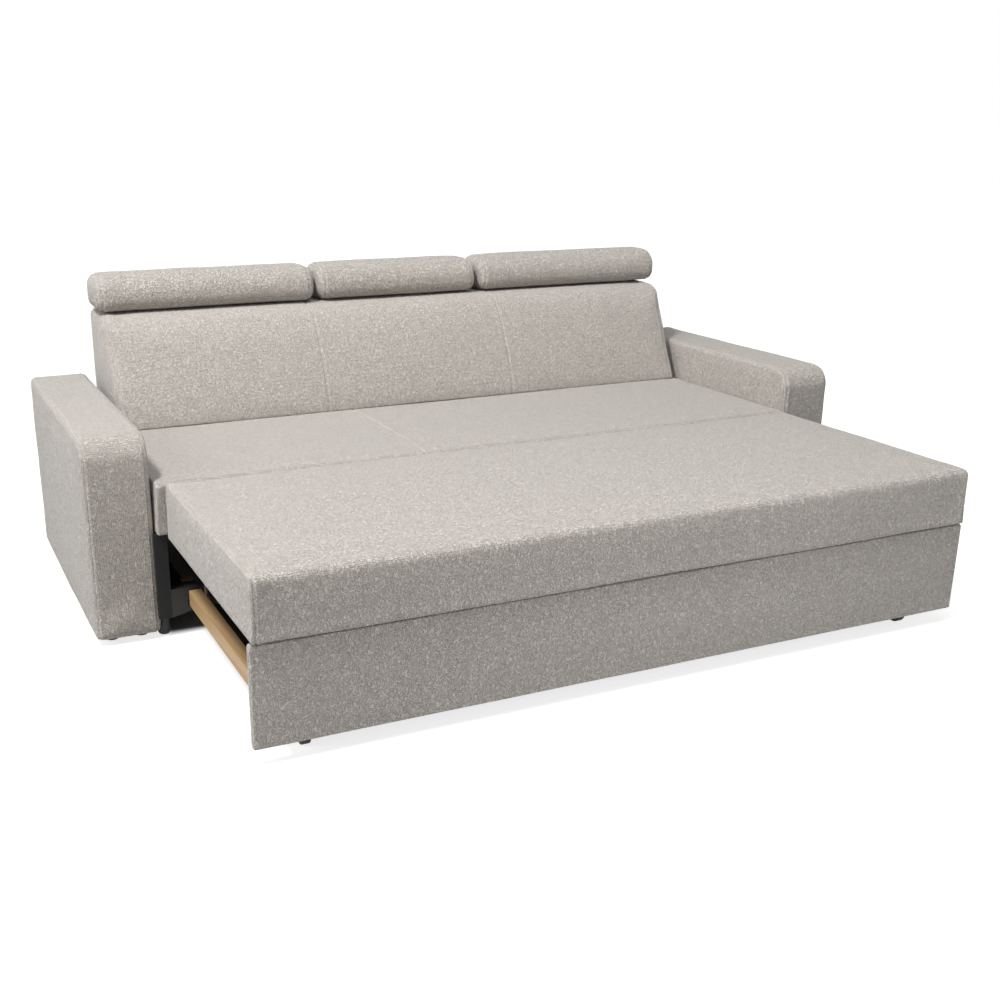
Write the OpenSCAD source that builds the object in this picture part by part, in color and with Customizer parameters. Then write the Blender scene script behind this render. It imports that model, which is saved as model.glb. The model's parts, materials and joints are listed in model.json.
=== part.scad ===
// Three-seat sofa bed with its front mattress pulled out and raised level with the fixed seat.
// Units are millimetres. X is the width, Y runs from the front edge to the back, Z is up from the floor.
// Depth values are measured from the front plane of the arms and then centred by place().

/* [Arms] */
// Gap between the fixed seat and each arm
arm_gap = 18.5; // [12:0.5:30]
// Width of one arm
arm_w = 158.5; // [120:0.5:220]
// Depth of the arms
arm_d = 906; // [850:1:1000]
// Height of the arm top above the floor
arm_top = 561; // [520:1:640]
// Height of the plastic glides under the arms
glide_h = 17; // [12:1:30]
// Radius of the front top edge of the arm
arm_front_r = 65; // [40:1:90]
// Radius of the other padded edges of the arm
arm_edge_r = 11; // [6:1:16]
// Thickness of the padding and cloth on the arms
arm_pad = 13; // [8:1:20]
// Thickness of the boards in the arm frame
arm_board = 22; // [16:1:30]

/* [Base] */
// Thickness of the side boards of the base
side_board = 35.5; // [18:0.5:45]
// Height of the underside of the base boards
base_bottom = 55; // [45:1:70]
// Height of the top of the side boards
base_top = 291.7; // [280:0.1:320]
// How far the base stops short of the rear of the arms
base_inset = 22; // [10:1:40]
// Thickness of the rear board of the base
rear_board = 18; // [12:1:25]
// Diameter of the round feet under the base
foot_d = 50; // [40:1:70]
// Distance of the outer rear feet from the middle
foot_x = 600; // [450:1:700]

/* [Seat and mattress] */
// Height of the sleeping surface above the floor
bed_top = 436; // [400:1:480]
// Height of the underside of the pulled-out mattress
bed_bottom = 289; // [280:1:300]
// How much narrower the mattress is than the fixed seat on each side
mattress_inset = 25; // [15:1:60]
// How far the mattress reaches in front of the arms
mattress_front = 791; // [700:1:800]
// Distance from the arm front plane to the seat's front edge
seat_front = 17; // [10:1:30]
// Gap between the mattress and the seat
bed_gap = 1; // [0.5:0.5:4]
// Half of the width of the fixed seat
seat_hw = 1005; // [940:1:1015]
// How far the fixed seat reaches in under the backrest
seat_under = 97; // [40:1:120]
// Radius of the upholstered edges
pad_r = 16; // [8:1:24]
// Radius of the lower edges of the seat and mattress
pad_low_r = 5; // [3:1:9]
// Crown of the upholstered tops
crown = 7; // [0:1:15]
// Height of the timbers in the seat and mattress frames
timber_h = 42; // [30:1:60]
// Width of the timbers in the seat and mattress frames
timber_w = 35; // [25:1:50]
// Thickness of the padding beside the frames
side_pad = 13; // [10:1:20]

/* [Pull-out] */
// How much narrower the front panel is than the fixed seat on each side
panel_inset = 13; // [8:1:60]
// Depth of the front panel's face in front of the arms
panel_front = 779; // [690:1:790]
// Thickness of the wooden board in the panel
panel_board = 18.5; // [15:0.5:25]
// Thickness of the padding on the panel
panel_pad = 4; // [2:1:10]
// Height of the panel's lower edge
panel_bottom = 38; // [30:1:60]
// Height of the panel's upper edge
panel_top = 280; // [260:1:285]
// Gap between a wooden rail and the side board
rail_gap = 48; // [40:1:80]
// Width of a wooden rail
rail_w = 33; // [25:1:40]
// Height of the underside of the rails
rail_bottom = 82; // [78:1:95]
// Height of a wooden rail
rail_h = 43; // [35:1:50]
// Depth at which the rails end inside the base
rail_rear = 105; // [80:1:106]
// Thickness of the deck board of the pull-out
deck_t = 12; // [9:1:18]
// Depth of the cross board at the rear of the deck
cross_d = 84; // [60:1:84]
// Thickness of the bearer behind the panel
bearer_t = 22; // [16:1:30]

/* [Runners and casters] */
// Thickness of the runner lip under a rail
lip_t = 7.5; // [5:0.5:12]
// Length of the guide block at the front of each runner
guide_len = 50; // [30:1:80]
// Diameter of a caster wheel
wheel_d = 50; // [40:1:56]
// Width of a caster wheel
wheel_w = 22; // [16:1:30]
// Distance of the casters from the outer face of the rails
caster_inset = 75; // [70:1:160]
// Distance of the front casters in front of the arms
caster_front = 715; // [690:1:720]
// Distance of the rear casters in front of the arms
caster_rear = 92; // [80:1:120]

/* [Support struts] */
// Distance of the strut pivots in front of the arms
strut_y = 46; // [40:1:52]
// Height of the strut pivot above the floor
strut_z = 112; // [106:1:116]
// Width of a strut
strut_w = 24; // [18:1:26]
// Thickness of a strut plate
strut_t = 4; // [3:0.5:6]
// Width of the curved foot at the top of a strut
strut_foot = 26; // [18:1:40]
// Diameter of the pivot rivets
pivot_d = 10; // [6:1:12]

/* [Backrest] */
// How much narrower the backrest is than the fixed seat on each side
back_inset = 30; // [15:1:60]
// Height of the backrest's lower edge
back_bottom = 438; // [438:1:470]
// Height of the backrest's top
back_top = 757; // [700:1:820]
// Depth of the foam at its lower edge
back_low_d = 322; // [290:1:360]
// Depth of the foam at its upper edge
back_high_d = 169; // [140:1:200]
// How far the rear of the foam stands in front of the rear of the base
foam_inset = 19; // [16:1:30]
// How far the backrest reaches out behind the base
back_over = 66; // [60:1:90]
// Height of the rail along the top of the backrest
top_rail_h = 37; // [25:1:50]
// Width of an upright post in the backrest
post_w = 44; // [30:1:60]
// Distance of the inner posts from the middle
post_x = 320; // [200:1:450]
// Distance of the outer posts from the side of the backrest
post_inset = 60; // [40:1:90]
// Thickness of the cloth cover at the rear
rear_pad = 5; // [3:1:12]
// Radius of the backrest's padded edges
back_r = 14; // [8:1:20]
// Radius of the backrest's upper front edge
back_top_r = 42; // [20:1:60]
// Crown of the backrest's front
back_crown = 12; // [0:1:20]
// Depth of the sewn seams in the backrest
seam_depth = 3; // [1:0.5:6]

/* [Headrests] */
// Width of the middle headrest
headrest_mid_w = 571; // [520:1:620]
// Gap between two headrests
headrest_gap = 9; // [6:1:20]
// How far the outer headrests stand past the backrest
headrest_over = 9; // [0:1:20]
// Depth of a headrest from front to rear
headrest_d = 173; // [150:1:200]
// How far the headrests stand in front of the rear of the backrest
headrest_set = 35; // [34:1:60]
// Radius of the rounded ends of a headrest
headrest_end_r = 30; // [12:1:36]
// Height of a headrest
headrest_h = 119; // [90:1:150]
// How far the tilt axis lies behind the headrests
tilt_behind = 13; // [12:1:19]
// Height of the tilt axis above the backrest's top
tilt_up = 10.5; // [10:0.5:14]
// Radius of the hinge pin
pin_r = 3; // [2:0.5:4]
// Radius of the toothed ratchet discs
ratchet_r = 9; // [8:0.5:9.5]
// Number of ratchet teeth on a full disc
ratchet_n = 24; // [16:1:36]
// Distance from the middle of a headrest to each of its hinges
hinge_x = 190; // [120:1:240]

/* [Hidden] */

// Clearance between pieces that slide or rest on each other
fit = 0.3;
// Radial clearance of the hinge pins and wheel axles
pin_fit = 0.05;
cloth = [0.79, 0.77, 0.74];
cloth_shade = [0.72, 0.70, 0.67];
pine = [0.84, 0.70, 0.50];
black = [0.08, 0.08, 0.08];
steel = [0.55, 0.56, 0.58];
grey_board = [0.45, 0.45, 0.46];

arm_inner_x = seat_hw + arm_gap;
mattress_hw = seat_hw - mattress_inset;
panel_hw = seat_hw - panel_inset;
back_hw = seat_hw - back_inset;
base_rear = arm_d - base_inset;
sofa_rear = base_rear + back_over;
foam_rear = base_rear - foam_inset;
back_low_y = foam_rear - back_low_d;
back_high_y = foam_rear - back_high_d;
seat_rear = back_low_y + seat_under;
headrest_rear = sofa_rear - headrest_set;
headrest_front = headrest_rear - headrest_d;
tilt_y = headrest_rear + tilt_behind;
y_mid = (sofa_rear - mattress_front) / 2;
arm_outer_x = arm_inner_x + arm_w;
side_inner_x = arm_inner_x - side_board;
rail_outer = side_inner_x - rail_gap;
rail_inner = rail_outer - rail_w;
caster_x = rail_outer - caster_inset;
rail_top = rail_bottom + rail_h;
mattress_rear = seat_front + bed_gap;
headrest_side_w = back_hw + headrest_over - headrest_mid_w / 2 - headrest_gap;
headrest_pitch = (headrest_mid_w + headrest_side_w) / 2 + headrest_gap;
tilt_z = back_top + tilt_up;
leaf_t = 2.5;
leaf_gap = 1.1;
leaf_z = back_top + leaf_t + leaf_gap;
headrest_bottom = leaf_z + leaf_t;
headrest_board_t = 12;
strut_len = bed_bottom - fit - strut_z;
fork_w = wheel_w + 12;
deck_z = rail_bottom + 1;
corner_steps = 4;
side_steps = 4;

// Moves the model so that the middle of its depth lies at Y = 0
module place() {
    translate([0, -y_mid, 0]) children();
}

// Mirrors a right-hand piece to the left-hand side when side is -1
module on_side(side) {
    if (side > 0) children();
    else mirror([1, 0, 0]) children();
}

// Points of one rounded corner, running counter-clockwise
function arc_points(c, r, start) =
    [
        for (i = [0:corner_steps])
            let (turn = start + 90 * i / corner_steps)
                c + r * [cos(turn), sin(turn)]
    ];

// Points strictly between two ends
function between(a, b) = [for (i = [1:side_steps - 1]) a + (b - a) * i / side_steps];

// Rounded outline in depth and height: r holds the radii rear-top, front-top, front-bottom, rear-bottom
function outline(y0, y1, z0, z1, r) =
    let (
        rt = arc_points([y1 - r[0], z1 - r[0]], r[0], 0),
        ft = arc_points([y0 + r[1], z1 - r[1]], r[1], 90),
        fb = arc_points([y0 + r[2], z0 + r[2]], r[2], 180),
        rb = arc_points([y1 - r[3], z0 + r[3]], r[3], 270)
    )
    concat(
        rt, between(rt[corner_steps], ft[0]),
        ft, between(ft[corner_steps], fb[0]),
        fb, between(fb[corner_steps], rb[0]),
        rb, between(rb[corner_steps], rt[0])
    );

// Middle of a ring of points
function middle_of(ring) = [for (k = [0:2]) [for (p = ring) p[k]] * [for (p = ring) 1] / len(ring)];

// Skin through equal rings of points, closed at each end by a fan from the middle
module loft(rings) {
    n = len(rings[0]);
    m = len(rings);
    points = concat([for (ring = rings) each ring], [middle_of(rings[0]), middle_of(rings[m - 1])]);
    sides = [
        for (k = [0:m - 2], i = [0:n - 1])
            let (a = k * n + i, b = k * n + (i + 1) % n)
                each [[a, b, b + n], [a, b + n, a + n]]
    ];
    first = [for (i = [0:n - 1]) [(i + 1) % n, i, m * n]];
    last = [for (i = [0:n - 1]) [(m - 1) * n + i, (m - 1) * n + (i + 1) % n, m * n + 1]];
    polyhedron(points, concat(first, sides, last));
}

// Positions across the width, crowded at the two rounded ends: each is [x, inset]
function stations(half, r, middle) =
    let (
        ends = [
            for (i = [0:corner_steps])
                let (turn = 90 * i / corner_steps)
                    [half - r + r * sin(turn), r - r * cos(turn)]
        ]
    )
    concat(
        [for (i = [corner_steps:-1:0]) [-ends[i][0], ends[i][1]]],
        [for (i = [1:middle - 1]) [(half - r) * (2 * i / middle - 1), 0]],
        ends
    );

// Share of the crown at a place across the width: full in the middle and nothing at the ends
function swell(t) = 1 - pow(abs(t), 4);

// Upholstered block with rounded edges, a crowned top and sides that swell between the corners
module upholstered_block(half, y0, y1, z0, z1, r, rise, bulge) {
    ym = (y0 + y1) / 2;
    zm = (z0 + z1) / 2;
    hy = (y1 - y0) / 2;
    hz = (z1 - z0) / 2;
    rings = [
        for (s = stations(half, r, 10))
            let (e = s[1], w = swell(s[0] / half), rr = r - e + 3, radii = [rr, rr, pad_low_r, pad_low_r])
                [
                    for (p = outline(y0 + e * 0.4 + bulge, y1 - e * 0.4 - bulge, z0, z1 - e - rise, radii))
                        let (u = (p[0] - ym) / hy, v = (p[1] - zm) / hz)
                            [
                                s[0],
                                p[0] + bulge * w * u * (1 - v * v),
                                p[1] + rise * w * max(0, v) * (1 - u * u)
                            ]
                ]
    ];
    loft(rings);
}

// Block between two corners given as [x, y, z]
module block(a, b) {
    translate(a) cube(b - a);
}

// The arm frame ends below the round of the front edge
frame_top = arm_top - arm_front_r * 0.6;

// Arm: side outline of the padded arm, drawn in by e
function arm_ring(x, e) =
    let (
        small = arm_edge_r - e + 3,
        ring = outline(e, arm_d - e, glide_h + e, arm_top - e, [small + 12, arm_front_r - e, small, small])
    )
    [for (p = ring) [x, p[0], p[1]]];

module arm_solid() {
    mid = arm_inner_x + arm_w / 2;
    loft([for (s = stations(arm_w / 2, arm_edge_r, 2)) arm_ring(mid + s[0], s[1])]);
}

// Hollow padded cover of one arm
module arm_cover(side) {
    color(cloth) place() on_side(side) difference() {
        arm_solid();
        block(
            [arm_inner_x + arm_pad, arm_pad, glide_h - 1],
            [arm_outer_x - arm_pad, arm_d - arm_pad, frame_top]
        );
        block(
            [arm_inner_x - 1, bolt_board_y0, bolt_board_z0],
            [arm_inner_x + arm_pad + 1, bolt_board_y1, bolt_board_z1]
        );
    }
}

// The inner face of an arm is bare board where it is bolted to the base
bolt_board_y0 = 40;
bolt_board_y1 = 860;
bolt_board_z0 = base_bottom + 10;
bolt_board_z1 = base_top - 20;
bolt_r = 4;
function bolt_places() = [[160, 200], [700, 200], [160, 120], [700, 120]];

// Timber frame of one arm: front and rear posts, top and bottom rails, a middle post and the inner bolt board
module arm_frame(side) {
    x0 = arm_inner_x + arm_pad;
    x1 = arm_outer_x - arm_pad;
    top = frame_top;
    y0 = arm_pad;
    y1 = arm_d - arm_pad;
    color(pine) place() on_side(side) difference() {
        union() {
            block([x0, y0, glide_h], [x1, y0 + arm_board, top]);
            block([x0, y1 - arm_board, glide_h], [x1, y1, top]);
            block([x0, y0, top - arm_board], [x1, y1, top]);
            block([x0, y0, glide_h], [x1, y1, glide_h + arm_board]);
            block([x0, arm_d / 2 - arm_board / 2, glide_h], [x1, arm_d / 2 + arm_board / 2, top]);
            block([x0, y0, glide_h], [x0 + arm_board, y1, base_top]);
            block([arm_inner_x, bolt_board_y0, bolt_board_z0], [x0 + 1, bolt_board_y1, bolt_board_z1]);
        }
        for (bolt = bolt_places()) translate([arm_inner_x - 1, bolt[0], bolt[1]]) rotate([0, 90, 0])
            cylinder(r = bolt_r + fit, h = arm_pad + arm_board + 2, $fn = 48);
    }
}

// Round plastic glides, four under each arm
module arm_glides() {
    color(black) place() for (side = [-1, 1], y = [60, arm_d - 60], x = [40, arm_w - 40])
        translate([side * (arm_inner_x + x), y, 0]) {
            cylinder(r1 = 16, r2 = 19, h = 5, $fn = 48);
            translate([0, 0, 5]) cylinder(r = 19, h = glide_h - 5, $fn = 48);
        }
}

// Bolts that hold the arms to the side boards, with washers under their heads
module arm_bolts() {
    tail = arm_inner_x + arm_pad + arm_board;
    color(steel) place() for (side = [-1, 1]) on_side(side) for (bolt = bolt_places())
        translate([side_inner_x, bolt[0], bolt[1]]) rotate([0, 90, 0]) {
            translate([0, 0, -1.5]) cylinder(r = 11, h = 1.5, $fn = 48);
            translate([0, 0, -6]) cylinder(r = 7, h = 4.5, $fn = 6);
            translate([0, 0, -1.5]) cylinder(r = bolt_r, h = tail - side_inner_x + 1.5, $fn = 48);
            translate([0, 0, tail - side_inner_x]) cylinder(r = 7, h = 6, $fn = 6);
        }
}

// Side board of the base, drilled for the arm bolts
module side_board(side) {
    color(black) place() on_side(side) difference() {
        block([side_inner_x, 0, base_bottom], [arm_inner_x, base_rear, base_top]);
        for (bolt = bolt_places()) translate([side_inner_x - 1, bolt[0], bolt[1]]) rotate([0, 90, 0])
            cylinder(r = bolt_r + fit, h = side_board + 2, $fn = 48);
    }
}

module rear_board() {
    color(black) place()
        block([-side_inner_x, base_rear - rear_board, base_bottom], [side_inner_x, base_rear, base_top]);
}

// Round feet under the rear board and under the front ends of the side boards
module base_feet() {
    color(black) place() {
        for (x = [-foot_x, 0, foot_x]) translate([x, base_rear - rear_board / 2, 0]) {
            cylinder(d1 = foot_d - 8, d2 = foot_d, h = 6, $fn = 48);
            translate([0, 0, 6]) cylinder(d = foot_d, h = base_bottom - 6, $fn = 48);
        }
        for (side = [-1, 1]) translate([side * (side_inner_x + side_board / 2), 40, 0]) {
            cylinder(d1 = side_board - 8, d2 = side_board - 1, h = 6, $fn = 48);
            translate([0, 0, 6]) cylinder(d = side_board - 1, h = base_bottom - 6, $fn = 48);
        }
    }
}

// Angled runner that carries a rail on its lip
module runner(side) {
    lip_z = rail_bottom - fit - lip_t;
    color(black) place() on_side(side)
        translate([0, base_rear - rear_board, 0]) rotate([90, 0, 0]) linear_extrude(base_rear - rear_board)
            polygon([
                [rail_inner + 2, lip_z],
                [side_inner_x, base_bottom],
                [side_inner_x, rail_bottom + 18],
                [rail_outer + 4, rail_bottom + 18],
                [rail_outer + 4, lip_z + lip_t],
                [rail_inner + 2, lip_z + lip_t]
            ]);
}

// Guide block that closes over the rail at the mouth of the base
module guide_block(side) {
    low = rail_bottom + 18;
    color(black) place() on_side(side)
        translate([0, guide_len, 0]) rotate([90, 0, 0]) linear_extrude(guide_len)
            polygon([
                [rail_outer + fit, low],
                [side_inner_x, low],
                [side_inner_x, rail_top + 10],
                [rail_inner + 2, rail_top + 8],
                [rail_inner + 2, rail_top + fit],
                [rail_outer + fit, rail_top + fit]
            ]);
}

// Rectangular timber frame with cross timbers
module timber_frame(half, y0, y1, z0, crosses) {
    z1 = z0 + timber_h;
    block([-half, y0, z0], [half, y0 + timber_w, z1]);
    block([-half, y1 - timber_w, z0], [half, y1, z1]);
    for (i = [0:crosses + 1])
        let (x = -half + (2 * half - timber_w) * i / (crosses + 1))
            block([x, y0 + 1, z0], [x + timber_w, y1 - 1, z1]);
}

seat_half = seat_hw - side_pad - fit;
seat_y0 = -seat_front + side_pad + fit;
seat_y1 = seat_rear - side_pad - fit;

module seat_frame() {
    color(pine) place() timber_frame(seat_half, seat_y0, seat_y1, base_top, 2);
}

// Flat zigzag of spring wire along Y
module zigzag(length, turns, wire, sway) {
    pitch = length / turns;
    r = pitch / 2;
    for (i = [0:turns - 1]) translate([(i % 2 == 0 ? 1 : -1) * sway, pitch * (i + 0.5), 0])
        intersection() {
            difference() {
                circle(r = r + wire / 2, $fn = 48);
                circle(r = r - wire / 2, $fn = 48);
            }
            translate([i % 2 == 0 ? 0 : -2 * r, -2 * r]) square([2 * r, 4 * r]);
        }
    for (i = [0:turns]) translate([-sway - 0.1, pitch * i - wire / 2])
        square([2 * sway + 0.2, wire]);
}

spring_turns = 14;
spring_wire = 4;
module seat_springs() {
    length = seat_y1 - seat_y0 - 2 * timber_w + 2 * 20;
    color(steel) place() for (bay = [-1, 0, 1], k = [-1, 1])
        translate([bay * seat_half * 0.66 + k * 150, seat_y0 + timber_w - 20, base_top + timber_h])
            linear_extrude(spring_wire) zigzag(length, spring_turns, spring_wire, 12);
}

// Hollow under an upholstered block that takes its timber frame and springs
module frame_hollow(half, y0, y1, z0) {
    block([-half - fit, y0 - fit, z0 - 1], [half + fit, y1 + fit, z0 + timber_h + spring_wire + fit]);
}

module seat_cushion() {
    color(cloth) place() difference() {
        upholstered_block(seat_hw, -seat_front, seat_rear, base_top + fit, bed_top, pad_r, crown, 3);
        frame_hollow(seat_half, seat_y0, seat_y1, base_top);
    }
}

// Backrest: posts that stand against the tall panel
post_lift = 8;
module back_posts() {
    color(pine) place() for (side = [-1, 1], x = [post_x, back_hw - post_inset])
        block(
            [side * x - post_w / 2, foam_rear + fit, base_top + post_lift],
            [side * x + post_w / 2, base_rear, back_top - top_rail_h]
        );
}

rail_inset = 22;
module back_top_rail() {
    color(pine) place()
        block(
            [-back_hw + rail_inset, foam_rear + fit, back_top - top_rail_h],
            [back_hw - rail_inset, sofa_rear - rear_pad, back_top]
        );
}

// Height of the lower edge of the tall rear panel, and its thickness
panel_low = 60;
panel_t = 12;
module back_panel() {
    color(grey_board) place()
        block(
            [-back_hw + rear_pad, base_rear, panel_low],
            [back_hw - rear_pad, base_rear + panel_t, back_top - top_rail_h]
        );
}

// Cloth-covered rear: a tall back with returned sides above the base
module back_cover() {
    color(cloth_shade) place() {
        block([-back_hw, sofa_rear - rear_pad, panel_low], [back_hw, sofa_rear, back_top]);
        for (side = [-1, 1]) on_side(side)
            block(
                [back_hw - rear_pad, foam_rear + fit, base_top + 1],
                [back_hw, sofa_rear - rear_pad, back_top]
            );
    }
}

// Depth of the leaning front face at a height
function face_y(z) = back_low_y + (back_high_y - back_low_y) * (z - back_bottom) / (back_top - back_bottom);

// How deep a sewn seam lies at a place across the width
function seam_dip(x) =
    let (third = 2 * back_hw / 3)
    seam_depth * max(0, 1 - min(abs(x - third / 2), abs(x + third / 2)) / 9);

back_stations = concat(
    [for (s = stations(back_hw, back_r, 6)) if (s[0] < -back_hw / 3 - 40) s],
    [for (d = [-20, -9, 0, 9, 20]) [-back_hw / 3 + d, 0]],
    [[-150, 0], [0, 0], [150, 0]],
    [for (d = [-20, -9, 0, 9, 20]) [back_hw / 3 + d, 0]],
    [for (s = stations(back_hw, back_r, 6)) if (s[0] > back_hw / 3 + 40) s]
);

module back_cushion() {
    height = back_top - back_bottom;
    depth = foam_rear - back_low_y;
    rings = [
        for (s = back_stations)
            let (
                e = s[1],
                w = swell(s[0] / back_hw),
                rr = back_r - e + 3,
                radii = [4, rr + back_top_r - back_r, rr + 4, 4]
            )
                [
                    for (p = outline(e, depth - e, e, height - e, radii))
                        let (
                            v = p[1] / height,
                            front = 1 - p[0] / depth,
                            lean = face_y(back_bottom + p[1]) - back_low_y,
                            puff = (back_crown * w * 4 * v * (1 - v) - seam_dip(s[0])) * front
                        )
                            [
                                s[0],
                                back_low_y + p[0] + lean * front - puff + back_crown * 0.3 * front,
                                back_bottom + p[1]
                            ]
                ]
    ];
    color(cloth) place() loft(rings);
}

// Toothed disc of the ratchet
tooth_h = 1.4;
function ratchet_outline() =
    [
        for (i = [0:ratchet_n * 2 - 1])
            let (turn = 180 * i / ratchet_n, r = i % 2 == 0 ? ratchet_r : ratchet_r - tooth_h)
                r * [cos(turn), sin(turn)]
    ];

function headrest_x(i) = (i - 1) * headrest_pitch;
function headrest_w(i) = i == 1 ? headrest_mid_w : headrest_side_w;

// Fixed half of the headrest hinges: plate, two ears, the toothed disc and the pin
module hinge_plates() {
    ear = 7.5;
    color(steel) place() for (i = [0:2], side = [-1, 1])
        translate([headrest_x(i) + side * hinge_x, 0, 0]) {
            block([-22, tilt_y - 60, back_top], [22, tilt_y - 14, back_top + leaf_t]);
            for (s = [-1, 1]) on_side(s) {
                block([12.5, tilt_y - 15, back_top], [19.5, tilt_y + 6, back_top + leaf_t]);
                translate([12.5, tilt_y, tilt_z]) rotate([0, 90, 0]) cylinder(r = ear, h = 3.5, $fn = 48);
                block([12.5, tilt_y - 5, back_top], [16, tilt_y + 5, tilt_z]);
                translate([16, tilt_y, tilt_z]) rotate([90, 0, 90]) linear_extrude(3.5)
                    polygon(ratchet_outline());
            }
            translate([-20.5, tilt_y, tilt_z]) rotate([0, 90, 0]) cylinder(r = pin_r, h = 41, $fn = 48);
        }
}

// Moving half of the hinges of one headrest
module headrest_hinges(i) {
    color(steel) place() for (side = [-1, 1])
        translate([headrest_x(i) + side * hinge_x, 0, 0]) difference() {
            union() {
                block([-20, tilt_y - 70, leaf_z], [20, tilt_y - 16, headrest_bottom]);
                block([-11.5, tilt_y - 17, leaf_z], [11.5, tilt_y, headrest_bottom]);
                translate([-11.5, tilt_y, tilt_z]) rotate([0, 90, 0]) cylinder(r = 7, h = 23, $fn = 48);
            }
            translate([-12, tilt_y, tilt_z]) rotate([0, 90, 0])
                cylinder(r = pin_r + pin_fit, h = 24, $fn = 48);
        }
}

headrest_side_pad = 20;
headrest_front_pad = 42;
headrest_rear_pad = 8;
module headrest_board(i) {
    half = headrest_w(i) / 2 - headrest_side_pad;
    color(pine) place() translate([headrest_x(i), 0, 0])
        block(
            [-half, headrest_front + headrest_front_pad, headrest_bottom],
            [half, headrest_rear - headrest_rear_pad, headrest_bottom + headrest_board_t]
        );
}

// Outline of a headrest: a full round front and a softer rear
function headrest_ring(x, e, w) =
    let (
        z0 = headrest_bottom + 0.4,
        z1 = z0 + headrest_h - 4,
        big = (z1 - z0) * 0.46 - e,
        radii = [big * 0.6, big, big * 0.6, 6.5 - min(e, 6)],
        ring = outline(headrest_front + 2 + e, headrest_rear - e, z0 + e, z1 - e, radii)
    )
    [
        for (p = ring)
            let (high = max(0, (p[1] - z0) / (z1 - z0) - 0.5) * 2, ahead = p[0] < headrest_front + 60 ? 1 : 0)
                [x, p[0] - 2 * w * ahead, p[1] + 4 * w * high]
    ];

module headrest_pad(i) {
    half = headrest_w(i) / 2;
    inside = half - headrest_side_pad + fit;
    color(cloth) place() translate([headrest_x(i), 0, 0]) difference() {
        loft([for (s = stations(half, headrest_end_r, 4)) headrest_ring(s[0], s[1], swell(s[0] / half))]);
        block(
            [-inside, headrest_front + headrest_front_pad - fit, headrest_bottom - 1],
            [inside, headrest_rear - headrest_rear_pad + fit, headrest_bottom + headrest_board_t + fit]
        );
    }
}

// Front panel: the board and the padded cover wrapped round its face, edges and ends
module front_board() {
    color(pine) place()
        block(
            [-panel_hw + panel_pad, -panel_front + panel_pad, panel_bottom + panel_pad],
            [panel_hw - panel_pad, -panel_front + panel_pad + panel_board, panel_top - panel_pad]
        );
}

module front_cover() {
    back = -panel_front + panel_pad + panel_board;
    color(cloth) place() difference() {
        rounded_slab([-panel_hw, -panel_front, panel_bottom], [panel_hw, back, panel_top], 3);
        block(
            [-panel_hw + panel_pad, -panel_front + panel_pad, panel_bottom + panel_pad],
            [panel_hw - panel_pad, back + 1, panel_top - panel_pad]
        );
    }
}

// Slab between two corners whose front edges are rounded
module rounded_slab(a, b, r) {
    translate([0, 0, a[2]]) linear_extrude(b[2] - a[2]) union() {
        translate([a[0], a[1] + r]) square([b[0] - a[0], b[1] - a[1] - r]);
        translate([a[0] + r, a[1]]) square([b[0] - a[0] - 2 * r, r + 0.01]);
        for (x = [a[0] + r, b[0] - r]) translate([x, a[1] + r]) circle(r = r, $fn = 32);
    }
}

board_back = -panel_front + panel_pad + panel_board;

module rail(side) {
    color(pine) place() on_side(side) difference() {
        block([rail_inner, board_back, rail_bottom], [rail_outer, rail_rear, rail_top]);
        translate([rail_inner - 1, -strut_y, strut_z]) rotate([0, 90, 0])
            cylinder(d = pivot_d, h = 26, $fn = 48);
    }
}

// Bearer behind the panel that carries the mattress's front edge
module front_bearer() {
    color(grey_board) place()
        block(
            [-rail_inner + 1, board_back, deck_z + deck_t],
            [rail_inner - 1, board_back + bearer_t, bed_bottom - fit]
        );
}

// Black deck between the rails, from the panel to the cross board over the rear casters
module drawer_deck() {
    color(black) place()
        block([-rail_inner, board_back, deck_z], [rail_inner, -caster_rear - cross_d / 2, deck_z + deck_t]);
}

module rear_cross_bar() {
    color(black) place()
        block(
            [-rail_inner, -caster_rear - cross_d / 2, deck_z],
            [rail_inner, -caster_rear + cross_d / 2, deck_z + deck_t]
        );
}

function caster_places() = [for (y = [-caster_front, -caster_rear], s = [-1, 1]) [s * caster_x, y]];
axle_r = 4;

// Fixed caster forks: a screwed plate and two cheeks
module caster_forks() {
    r = wheel_d / 2;
    color(black) place() for (c = caster_places()) translate([c[0], c[1], 0]) {
        translate([-fork_w / 2 - 2, -28, deck_z - 4]) cube([fork_w + 4, 56, 4]);
        for (s = [-1, 1]) on_side(s) translate([wheel_w / 2 + 1.5, 0, 0]) rotate([90, 0, 90])
            linear_extrude(3.5) difference() {
                union() {
                    translate([0, r]) circle(r = 11, $fn = 48);
                    polygon([[-11, r], [11, r], [22, deck_z - 3], [-22, deck_z - 3]]);
                }
                translate([0, r]) circle(r = axle_r, $fn = 48);
            }
    }
}

module caster_axles() {
    color(steel) place() for (c = caster_places())
        translate([c[0] - fork_w / 2 - 1, c[1], wheel_d / 2]) rotate([0, 90, 0]) {
            cylinder(r = axle_r, h = fork_w + 2, $fn = 48);
            cylinder(r = axle_r + 2.5, h = 1.9, $fn = 48);
            translate([0, 0, fork_w + 0.1]) cylinder(r = axle_r + 2.5, h = 1.9, $fn = 48);
        }
}

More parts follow.
